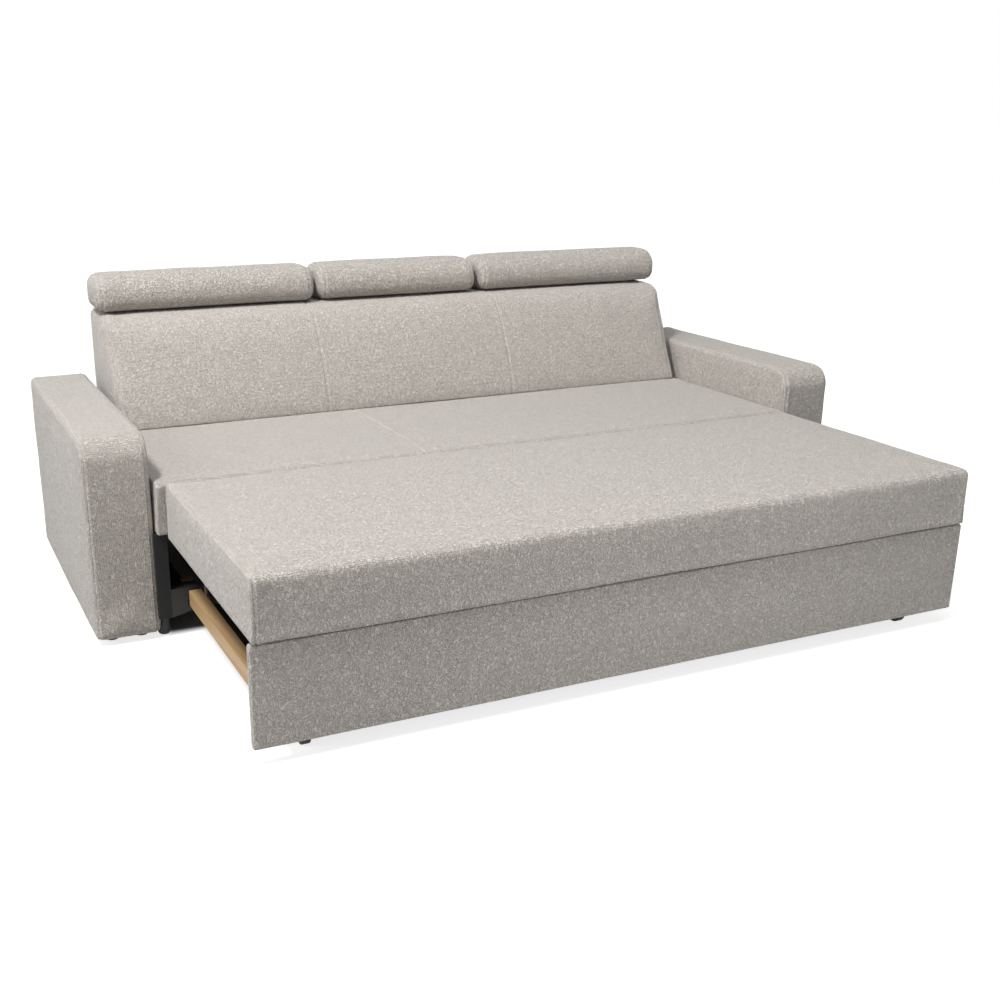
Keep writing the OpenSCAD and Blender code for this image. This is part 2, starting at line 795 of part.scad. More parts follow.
// Caster wheel with a hub, a thinner web and a rounded tread
module wheel(index) {
    c = caster_places()[index];
    r = wheel_d / 2;
    h = wheel_w / 2;
    color(black) place() translate([c[0], c[1], r]) rotate([0, 90, 0]) rotate_extrude($fn = 96) union() {
        translate([axle_r + pin_fit, -h]) square([5, wheel_w]);
        translate([axle_r + 4, -h * 0.35]) square([r - axle_r - 8, wheel_w * 0.35]);
        translate([r - 6, -h + 1.5]) square([4.5, wheel_w - 3]);
        translate([r - 2, -h + 3]) square([2, wheel_w - 6]);
        for (s = [-1, 1]) translate([r - 3, s * (h - 3)]) circle(r = 3, $fn = 24);
        translate([r - 6, -h]) square([3, wheel_w]);
    }
}

// Rivets on which the struts turn
module strut_rivets() {
    color(steel) place() for (side = [-1, 1]) on_side(side)
        translate([rail_inner - strut_t - 2 * fit - 3, -strut_y, strut_z]) rotate([0, 90, 0]) {
            cylinder(r = pivot_d / 2 + 3, h = 3, $fn = 48);
            cylinder(r = pivot_d / 2, h = 3 + strut_t + 2 * fit + 24, $fn = 48);
        }
}

// Support strut: a flat steel bar with a curved foot that carries the mattress
module strut(side) {
    x1 = rail_inner - fit;
    color(steel) place() on_side(side) translate([0, -strut_y, strut_z]) {
        translate([x1 - strut_t, 0, 0]) rotate([90, 0, 90]) linear_extrude(strut_t) difference() {
            intersection() {
                union() {
                    circle(d = strut_w, $fn = 64);
                    translate([-strut_w / 2, 0]) square([strut_w, strut_len + 5]);
                }
                circle(r = strut_len, $fn = 360);
            }
            circle(r = pivot_d / 2 + pin_fit, $fn = 48);
            for (z = [60, 85, 110, 135]) translate([0, z]) circle(r = 5, $fn = 32);
        }
        translate([x1 - strut_foot, 0, 0]) rotate([90, 0, 90]) linear_extrude(strut_foot) intersection() {
            difference() {
                circle(r = strut_len, $fn = 360);
                circle(r = strut_len - strut_t, $fn = 360);
            }
            translate([-strut_w / 2, 0]) square([strut_w, strut_len + 5]);
        }
    }
}

mat_half = mattress_hw - side_pad - fit;
mat_y0 = -mattress_front + side_pad + fit;
mat_y1 = -mattress_rear - side_pad - fit;

module mattress_frame() {
    color(pine) place() timber_frame(mat_half, mat_y0, mat_y1, bed_bottom, 3);
}

// Sprung slats that lie on the mattress frame
slat_n = 13;
module mattress_slats() {
    slat_w = 55;
    color(pine) place() for (i = [0:slat_n - 1])
        let (x = -mat_half + 20 + (2 * mat_half - 40 - slat_w) * i / (slat_n - 1))
            block(
                [x, mat_y0 + 8, bed_bottom + timber_h],
                [x + slat_w, mat_y1 - 8, bed_bottom + timber_h + spring_wire]
            );
}

module mattress_cushion() {
    color(cloth) place() difference() {
        upholstered_block(mattress_hw, -mattress_front, -mattress_rear, bed_bottom, bed_top, pad_r, crown, 3);
        frame_hollow(mat_half, mat_y0, mat_y1, bed_bottom);
    }
}

arm_frame(-1);  // left_arm_frame
arm_frame(1);  // right_arm_frame
arm_cover(-1);  // left_arm_cover
arm_cover(1);  // right_arm_cover
arm_glides();
arm_bolts();
side_board(-1);  // left_side_board
side_board(1);  // right_side_board
rear_board();
base_feet();
runner(-1);  // left_runner
runner(1);  // right_runner
guide_block(-1);  // left_guide_block
guide_block(1);  // right_guide_block
seat_frame();
seat_springs();
seat_cushion();
back_posts();
back_top_rail();
back_panel();
back_cushion();
back_cover();
hinge_plates();
front_board();
front_cover();
rail(-1);  // left_rail
rail(1);  // right_rail
front_bearer();
drawer_deck();
rear_cross_bar();
caster_forks();
caster_axles();
strut_rivets();
wheel(0);  // front_left_wheel
wheel(1);  // front_right_wheel
wheel(2);  // rear_left_wheel
wheel(3);  // rear_right_wheel
strut(-1);  // left_strut
strut(1);  // right_strut
mattress_frame();
mattress_slats();
mattress_cushion();
headrest_pad(0);  // left_headrest_pad
headrest_board(0);  // left_headrest_board
headrest_hinges(0);  // left_headrest_hinges
headrest_pad(1);  // middle_headrest_pad
headrest_board(1);  // middle_headrest_board
headrest_hinges(1);  // middle_headrest_hinges
headrest_pad(2);  // right_headrest_pad
headrest_board(2);  // right_headrest_board
headrest_hinges(2);  // right_headrest_hinges
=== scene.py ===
import bpy
import bmesh
import json
import math
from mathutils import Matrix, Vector, noise
from mathutils.bvhtree import BVHTree


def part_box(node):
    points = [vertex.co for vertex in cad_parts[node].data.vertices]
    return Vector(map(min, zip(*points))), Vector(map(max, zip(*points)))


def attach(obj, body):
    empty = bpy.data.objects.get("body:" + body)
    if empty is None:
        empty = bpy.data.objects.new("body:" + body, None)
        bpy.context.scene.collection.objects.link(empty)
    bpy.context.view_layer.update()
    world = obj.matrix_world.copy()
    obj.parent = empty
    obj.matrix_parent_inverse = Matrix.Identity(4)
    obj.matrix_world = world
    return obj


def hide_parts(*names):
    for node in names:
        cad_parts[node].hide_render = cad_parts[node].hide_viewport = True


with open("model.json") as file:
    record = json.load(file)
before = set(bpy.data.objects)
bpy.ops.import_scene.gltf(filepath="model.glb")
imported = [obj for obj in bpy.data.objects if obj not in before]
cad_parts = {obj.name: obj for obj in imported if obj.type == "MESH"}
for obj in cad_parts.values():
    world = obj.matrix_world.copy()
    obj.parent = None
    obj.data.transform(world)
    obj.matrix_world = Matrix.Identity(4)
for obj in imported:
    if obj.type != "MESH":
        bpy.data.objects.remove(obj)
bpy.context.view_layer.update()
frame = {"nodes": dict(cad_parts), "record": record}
scene = bpy.context.scene

tiny = 0.001  # places closer than this count as one, metres
mergeDistance = 0.0009  # and points closer than this are merged
acrossLeast = 0.05  # an edge that reaches further than this along the width runs across
squarely = 0.5  # how squarely a face looks to the front or rear to count as facing it


# Links an object to the scene at a place, with its -Z along a direction
def pointAlong(item, place, direction):
    scene.collection.objects.link(item)
    item.location = place
    item.rotation_mode = "QUATERNION"
    item.rotation_quaternion = Vector(direction).to_track_quat("-Z", "Y")


# Camera, solved from the corners of the sofa in the photo
cameraValues = {
    "place": (-1.6233, -3.1601, 1.3209),
    "forward": (0.3901, 0.8597, -0.3297),
    "sensor": 36,  # width, millimetres
    "lens": 44.473,  # 1.23537 of the sensor width
    "shiftX": 0.0681,
    "shiftY": 0.0492,
    "reach": 60,  # metres that it sees
}


def makeCamera():
    data = bpy.data.cameras.new("photoCamera")
    data.sensor_width = cameraValues["sensor"]
    data.lens = cameraValues["lens"]
    data.shift_x = cameraValues["shiftX"]
    data.shift_y = cameraValues["shiftY"]
    data.clip_end = cameraValues["reach"]
    camera = bpy.data.objects.new("photoCamera", data)
    pointAlong(camera, cameraValues["place"], cameraValues["forward"])
    scene.camera = camera


makeCamera()
scene.view_settings.view_transform = "Standard"


# Shader maths as plain expressions on sockets; the holder is a material or the world
class Shade:
    def __init__(self, holder, socket):
        self.holder = holder
        self.socket = socket

    def maths(self, operation, other, swap=False):
        pair = [other, self] if swap else [self, other]
        return addNode(self.holder, "ShaderNodeMath", {"operation": operation}, dict(enumerate(pair)))

    def __add__(self, other):
        return self.maths("ADD", other)

    def __radd__(self, other):
        return self.maths("ADD", other)

    def __sub__(self, other):
        return self.maths("SUBTRACT", other)

    def __rsub__(self, other):
        return self.maths("SUBTRACT", other, True)

    def __mul__(self, other):
        return self.maths("MULTIPLY", other)

    def __rmul__(self, other):
        return self.maths("MULTIPLY", other)


def addNode(holder, kind, settings, inputs, out=0):
    tree = holder.node_tree
    node = tree.nodes.new(kind)
    for key, value in settings.items():
        if key == "stops":
            ramp = node.color_ramp
            while len(ramp.elements) < len(value):
                ramp.elements.new(0.5)
            for element, (place, level) in zip(ramp.elements, value):
                element.position = place
                element.color = (level, level, level, 1)
        else:
            setattr(node, key, value)
    for key, value in inputs.items():
        if isinstance(value, Shade):
            tree.links.new(value.socket, node.inputs[key])
        else:
            node.inputs[key].default_value = value
    return Shade(holder, node.outputs[out])


# Another output of the node that a Shade comes from
def outputOf(shade, key):
    return Shade(shade.holder, shade.socket.node.outputs[key])


def connectOutput(holder, shader, kind="ShaderNodeOutputMaterial"):
    output = holder.node_tree.nodes.new(kind)
    holder.node_tree.links.new(shader.socket, output.inputs[0])


def newMaterial(name):
    material = bpy.data.materials.new(name)
    material.use_nodes = True
    material.node_tree.nodes.clear()
    return material


# Ends a material with a relief of the given strength and depth; fixed holds single values
def finishMaterial(material, colour, roughness, height, strength, depth, **fixed):
    relief = {"Strength": strength, "Distance": depth, "Height": height}
    inputs = {
        "Base Color": colour,
        "Roughness": roughness,
        "Normal": addNode(material, "ShaderNodeBump", {}, relief),
    }
    for key, value in fixed.items():
        inputs[key.replace("_", " ")] = value
    connectOutput(material, addNode(material, "ShaderNodeBsdfPrincipled", {}, inputs))
    return material


def objectPlace(material, scale=(1, 1, 1)):
    place = addNode(material, "ShaderNodeTexCoord", {}, {}, "Object")
    return addNode(material, "ShaderNodeMapping", {"vector_type": "POINT"}, {0: place, "Scale": scale})


def noiseOf(material, place, scale, detail=2, rough=0.5, distort=0):
    return addNode(
        material, "ShaderNodeTexNoise", {"normalize": True},
        {"Vector": place, "Scale": scale, "Detail": detail, "Roughness": rough, "Distortion": distort},
    )


def blend(first, second, share):
    return first * share + second * (1 - share)


# Distance to the nearest of many scattered points
def spotsOf(material, place, scale):
    return addNode(material, "ShaderNodeTexVoronoi", {"feature": "F1"}, {"Vector": place, "Scale": scale})


# Stops are given as (place on the value, level)
def rampOf(material, value, stops):
    return addNode(material, "ShaderNodeValToRGB", {"stops": stops}, {0: value})


# The Mix node's colour sockets are 6 and 7, and its colour output is 2
def mixColour(material, share, first, second):
    return addNode(material, "ShaderNodeMix", {"data_type": "RGBA"}, {0: share, 6: first, 7: second}, 2)


# Woven upholstery: a short chenille yarn, pale greige with darker flecks and paler strokes, the paler
# strokes partly its own lighter flecks and partly painted sheen
clothValues = {
    "pale": (0.622, 0.577, 0.524),
    "shade": (0.345, 0.314, 0.281),
    "dark": (0.080, 0.072, 0.063),
    # the paler colour of those strokes, partly painted sheen
    "light": (0.800, 0.772, 0.732),
    "clouds": (9, 3, 0.55),  # noises: scale per metre, detail, roughness and distortion
    "patches": (46, 2, 0.5),
    "flecks": (150, 3, 0.62, 0.5),
    "fibres": (480, 2, 0.6),
    "worn": (165, 2, 0.6, 0.7),
    "wobble": (60, 2),
    "wornStretch": (1, 1, 0.62),
    "gateBlend": 0.6,  # share of the first of the two noises that make up a pattern
    "mottleBlend": 0.75,
    "sheenStrokeBlend": 0.6,
    "pricks": 120,  # small dark pricks per metre
    "strokeStops": ((0.440, 0), (0.482, 1), (0.512, 1), (0.550, 0)),
    "gateStops": ((0.40, 0), (0.56, 1)),
    "mottleStops": ((0.36, 1), (0.60, 0)),
    "chosenStops": ((0.48, 0), (0.58, 1)),
    "prickStops": ((0.12, 1), (0.32, 0)),
    "sheenStrokeStops": ((0.54, 0), (0.62, 1)),
    "shadeShares": {"mottle": 0.56, "patches": 0.05, "clouds": 0.10, "all": 0.04},
    "darkShares": {"strokes": 0.16, "gated": 0.14, "pricks": 0.34},
    "sheenStrokeShare": 0.36,
    "yarn": 0.0046,  # width of one yarn, metres
    "stray": 5.0,  # how far the yarns stray from straight, radians
    "widthwise": 1.2,  # height of the waves along the width, against 1 for the others
    "relief": {"weave": 0.06, "flecks": 0.55, "worn": 0.9, "fibres": 0.35, "strokes": 0.35, "pricks": 0.25},
    "rough": (0.86, 0.1),  # roughness, and what the fibres add
    "sheen": 0.50,
    "sheenRough": 0.45,
    "sheenTint": (0.94, 0.93, 0.91, 1),
    "specular": 0.25,
}


# Height of the woven yarns: waves along the three axes
def weaveOf(material, place):
    turns = 2 * math.pi / clothValues["yarn"]
    split = addNode(material, "ShaderNodeSeparateXYZ", {}, {0: place})
    wobble = noiseOf(material, place, *clothValues["wobble"]) * clothValues["stray"]
    waves = [
        addNode(material, "ShaderNodeMath", {"operation": "SINE"}, {0: outputOf(split, k) * turns + wobble})
        for k in range(3)
    ]
    return waves[0] * clothValues["widthwise"] + waves[1] + waves[2]


# Depth is the height of its relief in metres, and tone darkens all its colours
def makeCloth(name, depth, tone):
    material = newMaterial(name)
    values = clothValues
    pale, shade, dark, light = (
        tuple(part * tone for part in values[key]) + (1,) for key in ("pale", "shade", "dark", "light")
    )
    place = objectPlace(material)
    clouds = noiseOf(material, place, *values["clouds"])
    patches = noiseOf(material, place, *values["patches"])
    flecks = noiseOf(material, place, *values["flecks"])
    fibres = noiseOf(material, place, *values["fibres"])
    worn = noiseOf(material, objectPlace(material, values["wornStretch"]), *values["worn"])
    strokes = rampOf(material, worn, values["strokeStops"])
    gate = rampOf(material, blend(patches, flecks, values["gateBlend"]), values["gateStops"])
    mottle = rampOf(material, blend(flecks, fibres, values["mottleBlend"]), values["mottleStops"])
    # Pale strokes: partly the yarn's own lighter flecks, partly painted sheen on the pile
    sheenAndPaleStrokes = rampOf(material, blend(worn, fibres, values["sheenStrokeBlend"]), values["sheenStrokeStops"])
    holes = rampOf(material, spotsOf(material, place, values["pricks"]), values["prickStops"])
    pricks = holes * rampOf(material, flecks, values["chosenStops"])

    share = values["shadeShares"]
    shaded = mottle * share["mottle"] + patches * share["patches"] + clouds * share["clouds"] + share["all"]
    share = values["darkShares"]
    darkened = strokes * (gate * share["gated"] + share["strokes"]) + pricks * share["pricks"]
    ground = mixColour(material, shaded, pale, shade)
    # mixes in the pale strokes, partly painted sheen
    ground = mixColour(material, sheenAndPaleStrokes * values["sheenStrokeShare"], ground, light)
    colour = mixColour(material, darkened, ground, dark)

    part = values["relief"]
    height = weaveOf(material, place) * part["weave"] + flecks * part["flecks"] + worn * part["worn"]
    height = height + fibres * part["fibres"] - strokes * part["strokes"] - pricks * part["pricks"]
    rough, rougher = values["rough"]
    return finishMaterial(
        material, colour, rough + fibres * rougher, height, 1.0, depth,
        Sheen_Weight=values["sheen"], Sheen_Roughness=values["sheenRough"], Sheen_Tint=values["sheenTint"],
        Specular_IOR_Level=values["specular"],
    )


threadValues = {
    "dark": (0.44, 0.405, 0.366, 1),
    "light": (0.58, 0.545, 0.50, 1),
    "twist": (900, 1),
    "rough": (0.62, 0.1),  # roughness, and what the twist adds
    "strength": 0.3,
    "depth": 0.0003,
}


def makeThread():
    material = newMaterial("greigeThread")
    twist = noiseOf(material, objectPlace(material), *threadValues["twist"])
    colour = mixColour(material, twist, threadValues["dark"], threadValues["light"])
    rough, rougher = threadValues["rough"]
    return finishMaterial(
        material, colour, rough + twist * rougher, twist, threadValues["strength"], threadValues["depth"]
    )


pineValues = {
    "pale": (0.48, 0.320, 0.160, 1),
    "ring": (0.32, 0.195, 0.088, 1),
    "knot": (0.30, 0.17, 0.085, 1),
    "grain": (2.2, 34),  # scales along the grain and across it
    "knots": (3.2, 9),
    "knotStops": ((0.035, 1), (0.11, 0)),
    "knotShare": 0.75,
    "warp": (1.3, 4, 0.6, 0.6),
    "rings": {"Scale": 0.42, "Distortion": 4.5, "Detail": 3, "Detail Scale": 0.8, "Detail Roughness": 0.6},
    "ringShare": 0.55,
    "warpShare": 0.3,
    "rough": (0.52, 0.16),  # roughness, and what the warp adds
    "strength": 0.16,
    "depth": 0.0006,
}


# The grain runs along one axis
def makePine(name, axis):
    material = newMaterial(name)

    def stretched(scales):
        return objectPlace(material, tuple(scales[0] if k == axis else scales[1] for k in range(3)))

    place = stretched(pineValues["grain"])
    warp = noiseOf(material, place, *pineValues["warp"])
    rings = addNode(
        material, "ShaderNodeTexWave",
        {"wave_type": "BANDS", "bands_direction": "DIAGONAL", "wave_profile": "SAW"},
        {0: place} | pineValues["rings"], 1,  # output 1 is the factor
    )
    knots = rampOf(material, spotsOf(material, stretched(pineValues["knots"]), 1.0), pineValues["knotStops"])
    ringed = rings * pineValues["ringShare"] + warp * pineValues["warpShare"]
    base = mixColour(material, ringed, pineValues["pale"], pineValues["ring"])
    colour = mixColour(material, knots * pineValues["knotShare"], base, pineValues["knot"])
    rough, rougher = pineValues["rough"]
    return finishMaterial(
        material, colour, rough + warp * rougher, rings + warp, pineValues["strength"], pineValues["depth"]
    )


# Finishes with a fine speckle between two colours: grains per metre, roughness and depth of the relief
speckledValues = {
    # Black plastic: its own black, and darker still as painted shade inside the base
    "blackPlastic": {
        "low": (0.004, 0.004, 0.004, 1), "high": (0.014, 0.014, 0.014, 1),
        "grains": 700, "rough": 0.56, "depth": 0.0002, "metallic": 0.0, "stretch": (1, 1, 1),
    },
    "casterTread": {
        "low": (0.012, 0.012, 0.013, 1), "high": (0.035, 0.035, 0.035, 1),
        "grains": 260, "rough": 0.66, "depth": 0.0004, "metallic": 0.0, "stretch": (1, 1, 1),
    },
    "greyBoard": {
        "low": (0.16, 0.16, 0.165, 1), "high": (0.25, 0.25, 0.25, 1),
        "grains": 160, "rough": 0.58, "depth": 0.0002, "metallic": 0.0, "stretch": (1, 0.25, 1),
    },
    "greySteel": {
        "low": (0.22, 0.225, 0.235, 1), "high": (0.34, 0.345, 0.36, 1),
        "grains": 240, "rough": 0.38, "depth": 0.0001, "metallic": 0.85, "stretch": (1, 1, 0.2),
    },
    "brightSteel": {
        "low": (0.50, 0.50, 0.52, 1), "high": (0.68, 0.68, 0.70, 1),
        "grains": 320, "rough": 0.30, "depth": 0.0001, "metallic": 1.0, "stretch": (0.2, 1, 1),
    },
}


# What those finishes share
speckleValues = {
    "noise": (4, 0.6),  # detail and roughness of the grain
    "smear": 0.06,  # scale of the broad smears, in grain scales
    "smearNoise": (3, 0.5),
    "blend": 0.6,  # share of the grain in the colour, the rest being the smears
    "spread": 0.22,  # how far the roughness varies
    "strength": 0.35,
}


def makeSpeckled(name):
    material = newMaterial(name)
    values = speckledValues[name]
    place = objectPlace(material, values["stretch"])
    grain = noiseOf(material, place, values["grains"], *speckleValues["noise"])
    scale = values["grains"] * speckleValues["smear"]
    smear = noiseOf(material, place, scale, *speckleValues["smearNoise"])
    colour = mixColour(material, blend(grain, smear, speckleValues["blend"]), values["low"], values["high"])
    rough = values["rough"] + (grain - 0.5) * speckleValues["spread"]
    strength = speckleValues["strength"]
    return finishMaterial(
        material, colour, rough, grain, strength, values["depth"], Metallic=values["metallic"]
    )


# Black non-woven lining: its own black, and darker still as painted shade inside the base
feltValues = {
    "dark": (0.003, 0.003, 0.003, 1),
    "light": (0.014, 0.014, 0.014, 1),
    "fibres": (520, 3, 0.7, 1.6),
    "dots": 330,  # pressed dots per metre
    "dotStops": ((0.12, 1), (0.30, 0)),
    "dotDepth": 0.6,  # against 1 for the fibres
    "rough": (0.82, 0.1),  # roughness, and what the fibres add
    "strength": 0.5,
    "depth": 0.0006,
}


def makeFelt():
    material = newMaterial("blackNonWoven")
    place = objectPlace(material)
    fibres = noiseOf(material, place, *feltValues["fibres"])
    pressed = rampOf(material, spotsOf(material, place, feltValues["dots"]), feltValues["dotStops"])
    colour = mixColour(material, fibres, feltValues["dark"], feltValues["light"])
    height = fibres - pressed * feltValues["dotDepth"]
    rough, rougher = feltValues["rough"]
    return finishMaterial(
        material, colour, rough + fibres * rougher, height, feltValues["strength"], feltValues["depth"]
    )


cloth = makeCloth("greigeChenille", depth=0.0038, tone=1.0)
# The backrest's cloth: a finer relief, and tone 0.91 darkens its colours as painted shade on the backrest
shadedSmoothCloth = makeCloth("greigeChenilleSmoothShaded", depth=0.0020, tone=0.91)
thread = makeThread()
pine = makePine("planedPine", 1)
pineAcross = makePine("planedPineAcross", 0)
pineUpright = makePine("planedPineUpright", 2)
slotMaterials = {
    "upholstery": cloth,
    "pine": pine,
    "black_board": makeFelt(),
    "black_plastic": makeSpeckled("blackPlastic"),
    "grey_board": makeSpeckled("greyBoard"),
    "grey_steel": makeSpeckled("greySteel"),
    "bright_steel": makeSpeckled("brightSteel"),
    "wheel": makeSpeckled("casterTread"),
}
# Timber whose grain doesn't run from front to rear
nodeMaterials = {
    "back_top_rail": pineAcross,
    "front_board": pineAcross,
    "back_posts": pineUpright,
    "left_headrest_board": pineAcross,
    "middle_headrest_board": pineAcross,
    "right_headrest_board": pineAcross,
}


def dressNodes():
    slots = {row["node"]: row["material_slot"] for row in frame["record"]["subparts"]}
    for name, node in frame["nodes"].items():
        node.data.materials.clear()
        node.data.materials.append(nodeMaterials.get(name, slotMaterials[slots[name]]))
    print("materials on", len(frame["nodes"]), "nodes")


dressNodes()


# Mesh helpers
def boxOf(node):
    return [Vector(corner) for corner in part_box(node)]


def deselect():
    if bpy.context.mode != "OBJECT":
        bpy.ops.object.mode_set(mode="OBJECT")
    bpy.ops.object.select_all(action="DESELECT")


def activate(piece):
    deselect()
    piece.select_set(True)
    bpy.context.view_layer.objects.active = piece


def newBlock(name, low, high):
    deselect()
    middle = [(a + b) / 2 for a, b in zip(low, high)]
    bpy.ops.mesh.primitive_cube_add(size=1, location=middle)
    piece = bpy.context.object
    piece.name = name
    piece.scale = [b - a for a, b in zip(low, high)]
    bpy.ops.object.transform_apply(location=True, rotation=True, scale=True)
    return piece


# Rounds the edges that wanted chooses by their two ends; rounding holds a radius and a count of segments
def roundEdges(piece, rounding, wanted):
    activate(piece)
    bpy.ops.object.mode_set(mode="EDIT")
    bpy.ops.mesh.select_mode(type="EDGE")
    bpy.ops.mesh.select_all(action="DESELECT")
    shape = bmesh.from_edit_mesh(piece.data)
    for edge in shape.edges:
        edge.select_set(wanted(edge.verts[0].co, edge.verts[1].co))
    shape.select_flush_mode()
    bmesh.update_edit_mesh(piece.data)
    radius, segments = rounding
    bpy.ops.mesh.bevel(offset=radius, segments=segments, affect="EDGES")
    bpy.ops.object.mode_set(mode="OBJECT")


def runsAcross(a, b):
    return abs(a.x - b.x) > acrossLeast


# Whether an edge lies in a plane that faces sideways
def liesSideways(a, b):
    return abs(a.x - b.x) < tiny


def applyModifier(piece, kind, **settings):
    activate(piece)
    modifier = piece.modifiers.new(kind.lower(), kind)
    for key, value in settings.items():
        setattr(modifier, key, value)
    bpy.ops.object.modifier_apply(modifier=modifier.name)


def cutAcross(piece, point, normal):
    activate(piece)
    bpy.ops.object.mode_set(mode="EDIT")
    bpy.ops.mesh.select_all(action="SELECT")
    bpy.ops.mesh.bisect(plane_co=point, plane_no=normal)
    bpy.ops.object.mode_set(mode="OBJECT")


def smooth(piece):
    activate(piece)
    bpy.ops.object.shade_smooth()


# Cuts a piece into a grid of faces about step wide, which leaves its rounded edges as they are
def gridCut(piece, step):
    for axis in range(3):
        places = [vertex.co[axis] for vertex in piece.data.vertices]
        low, high = min(places), max(places)
        count = max(1, round((high - low) / step))
        normal = [1 if k == axis else 0 for k in range(3)]
        for k in range(1, count):
            point = [0, 0, 0]
            point[axis] = low + (high - low) * k / count
            cutAcross(piece, point, normal)
    activate(piece)
    bpy.ops.object.mode_set(mode="EDIT")
    bpy.ops.mesh.select_all(action="SELECT")
    bpy.ops.mesh.remove_doubles(threshold=mergeDistance)
    bpy.ops.object.mode_set(mode="OBJECT")


# The cloth of every stuffed piece, and how many steps it swells
clothSettings = {
    "quality": 4,
    "mass": 0.35,
    "tension_stiffness": 14,
    "compression_stiffness": 14,
    "shear_stiffness": 8,
    "bending_stiffness": 1.2,
    "use_pressure": True,
    "vertex_group_mass": "held",
}
swellSteps = 20


# Lets the cloth swell under pressure; cap is the farthest that a point may come
def swellCloth(piece, pressure, cap, held):
    before = [vertex.co.copy() for vertex in piece.data.vertices]
    group = piece.vertex_groups.new(name="held")
    group.add([k for k, co in enumerate(before) if held(co)], 1.0, "REPLACE")
    activate(piece)
    modifier = piece.modifiers.new("cloth", "CLOTH")
    for key, value in clothSettings.items():
        setattr(modifier.settings, key, value)
    modifier.settings.uniform_pressure_force = pressure
    modifier.settings.effector_weights.gravity = 0
    modifier.collision_settings.use_collision = False
    modifier.point_cache.frame_start = 1
    modifier.point_cache.frame_end = swellSteps
    for moment in range(1, swellSteps + 1):
        scene.frame_set(moment)
    bpy.ops.object.modifier_apply(modifier="cloth")
    scene.frame_set(1)
    piece.vertex_groups.clear()
    for vertex, old in zip(piece.data.vertices, before):
        move = vertex.co - old
        length = move.length
        if length > 1e-7:
            vertex.co = old + move * (cap / (cap + length))


# Grids a padded piece, lets its cloth swell and smooths it; held keeps a point where it is
def stuff(piece, values, held):
    gridCut(piece, values["step"])
    swellCloth(piece, values["pressure"], values["cap"], held)
    print("stuffed", piece.name, len(piece.data.vertices), "points")
    applyModifier(piece, "SUBSURF", levels=1, render_levels=1)


# Moves every point by rule(co, normal)
def shapePoints(piece, rule):
    normals = [vertex.normal.copy() for vertex in piece.data.vertices]
    for vertex, normal in zip(piece.data.vertices, normals):
        vertex.co = vertex.co + rule(vertex.co, normal)
    piece.data.update()


def groove(distance, width, depth):
    return -depth * math.exp(-(distance / width) ** 2)


# The cloth beside a seam: height as a share of the seam's depth, distance and width in seam widths
ridgeValues = {"height": 0.45, "away": 2.6, "width": 1.5}


# A sewn seam: a narrow groove with the cloth raised a little beside it
def seamDip(distance, width, depth):
    away = (abs(distance) - ridgeValues["away"] * width) / (ridgeValues["width"] * width)
    return groove(distance, width, depth) + ridgeValues["height"] * depth * math.exp(-away ** 2)


# Cuts a mesh finely on both sides of a seam, so that a narrow groove has points to move
def cutSeams(piece, seams, offsets):
    for seam in seams:
        for offset in offsets:
            cutAcross(piece, (seam + offset, 0, 0), (1, 0, 0))


# Slow waves of hand-filled padding; waves holds pairs of scale per metre and height
def uneven(co, waves):
    return sum(noise.noise(co * scale) * height for scale, height in waves)


# 0 at both edges and 1 half way between them
def arch(share):
    return 4 * max(0, share * (1 - share))


def dress(piece, body, nodes, material=cloth):
    piece.data.materials.clear()
    piece.data.materials.append(material)
    smooth(piece)
    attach(piece, body)
    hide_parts(*nodes)


# Big flat pads: the fixed seat and the raised mattress
padValues = {
    "step": 0.024,
    "pressure": 3.0,
    "cap": 0.0050,
    "held": 0.012,  # the cloth is held up to this height
    "frontEdge": (0.018, 6),  # radius and segments of the rounded edges
    "sideEdge": (0.008, 3),
    "lowEdge": (0.005, 2),
    "shrink": 0.0030,
    "proud": 0.001,  # how far the cloth may stand past the solid's front
    "seam": 0.0022,  # depth of a sewn groove
    "cutWidth": 0.0035,  # width of the grooves of the cuts, and of the end panels
    "panelWidth": 0.0030,
    "offsets": (-0.008, -0.004, -0.0015, 0.0015, 0.004, 0.008),
    "panel": 0.013,  # how far the end panels' seams lie from the ends
    "panelFront": 0.02,  # below the middle, the end panels' seams show only this near to the front
    "frontSwell": 0.0035,
    "squarely": 0.4,  # how squarely a face looks to the side or the front to swell that way
    "waves": ((2.3, 0.0018), (7.0, 0.0008)),
    "stitch": 0.006,  # how far the stitches lie from a seam
}
mattressValues = {
    "rise": 0.0030,
    "bulge": 0.007,
    "wide": 0.016,
    "up": 0.006,
    "down": 0.002,
    "cuts": [],
    "panels": True,
    "corner": 0.030,
    "cornerSide": 1,  # the rear corners are rounded
}
seatValues = {
    "rise": 0.0015,
    "bulge": 0.002,
    "wide": 0.013,
    "up": 0.002,
    "down": 0.0,
    "cuts": [-0.25],
    "panels": False,
    "corner": 0.022,
    "cornerSide": -1,  # the front corners are rounded
}


# The solid's box, let out a little at the ends, top and underside as the cloth swells
def padBox(node, extra):
    low, high = boxOf(node)
    low -= Vector((extra["wide"], 0, extra["down"]))
    high += Vector((extra["wide"], 0, extra["up"]))
    return low, high


# Pulls a point outside the rounded corner of the plan onto the round
def roundCorner(co, middle, half, radius, side):
    dx = abs(co.x - middle.x) - (half.x - radius)
    dy = (co.y - middle.y) * side - (half.y - radius)
    reach = math.hypot(dx, dy)
    if dx > 0 and dy > 0 and reach > radius:
        co.x = middle.x + math.copysign(half.x - radius + dx * radius / reach, co.x - middle.x)
        co.y = middle.y + side * (half.y - radius + dy * radius / reach)


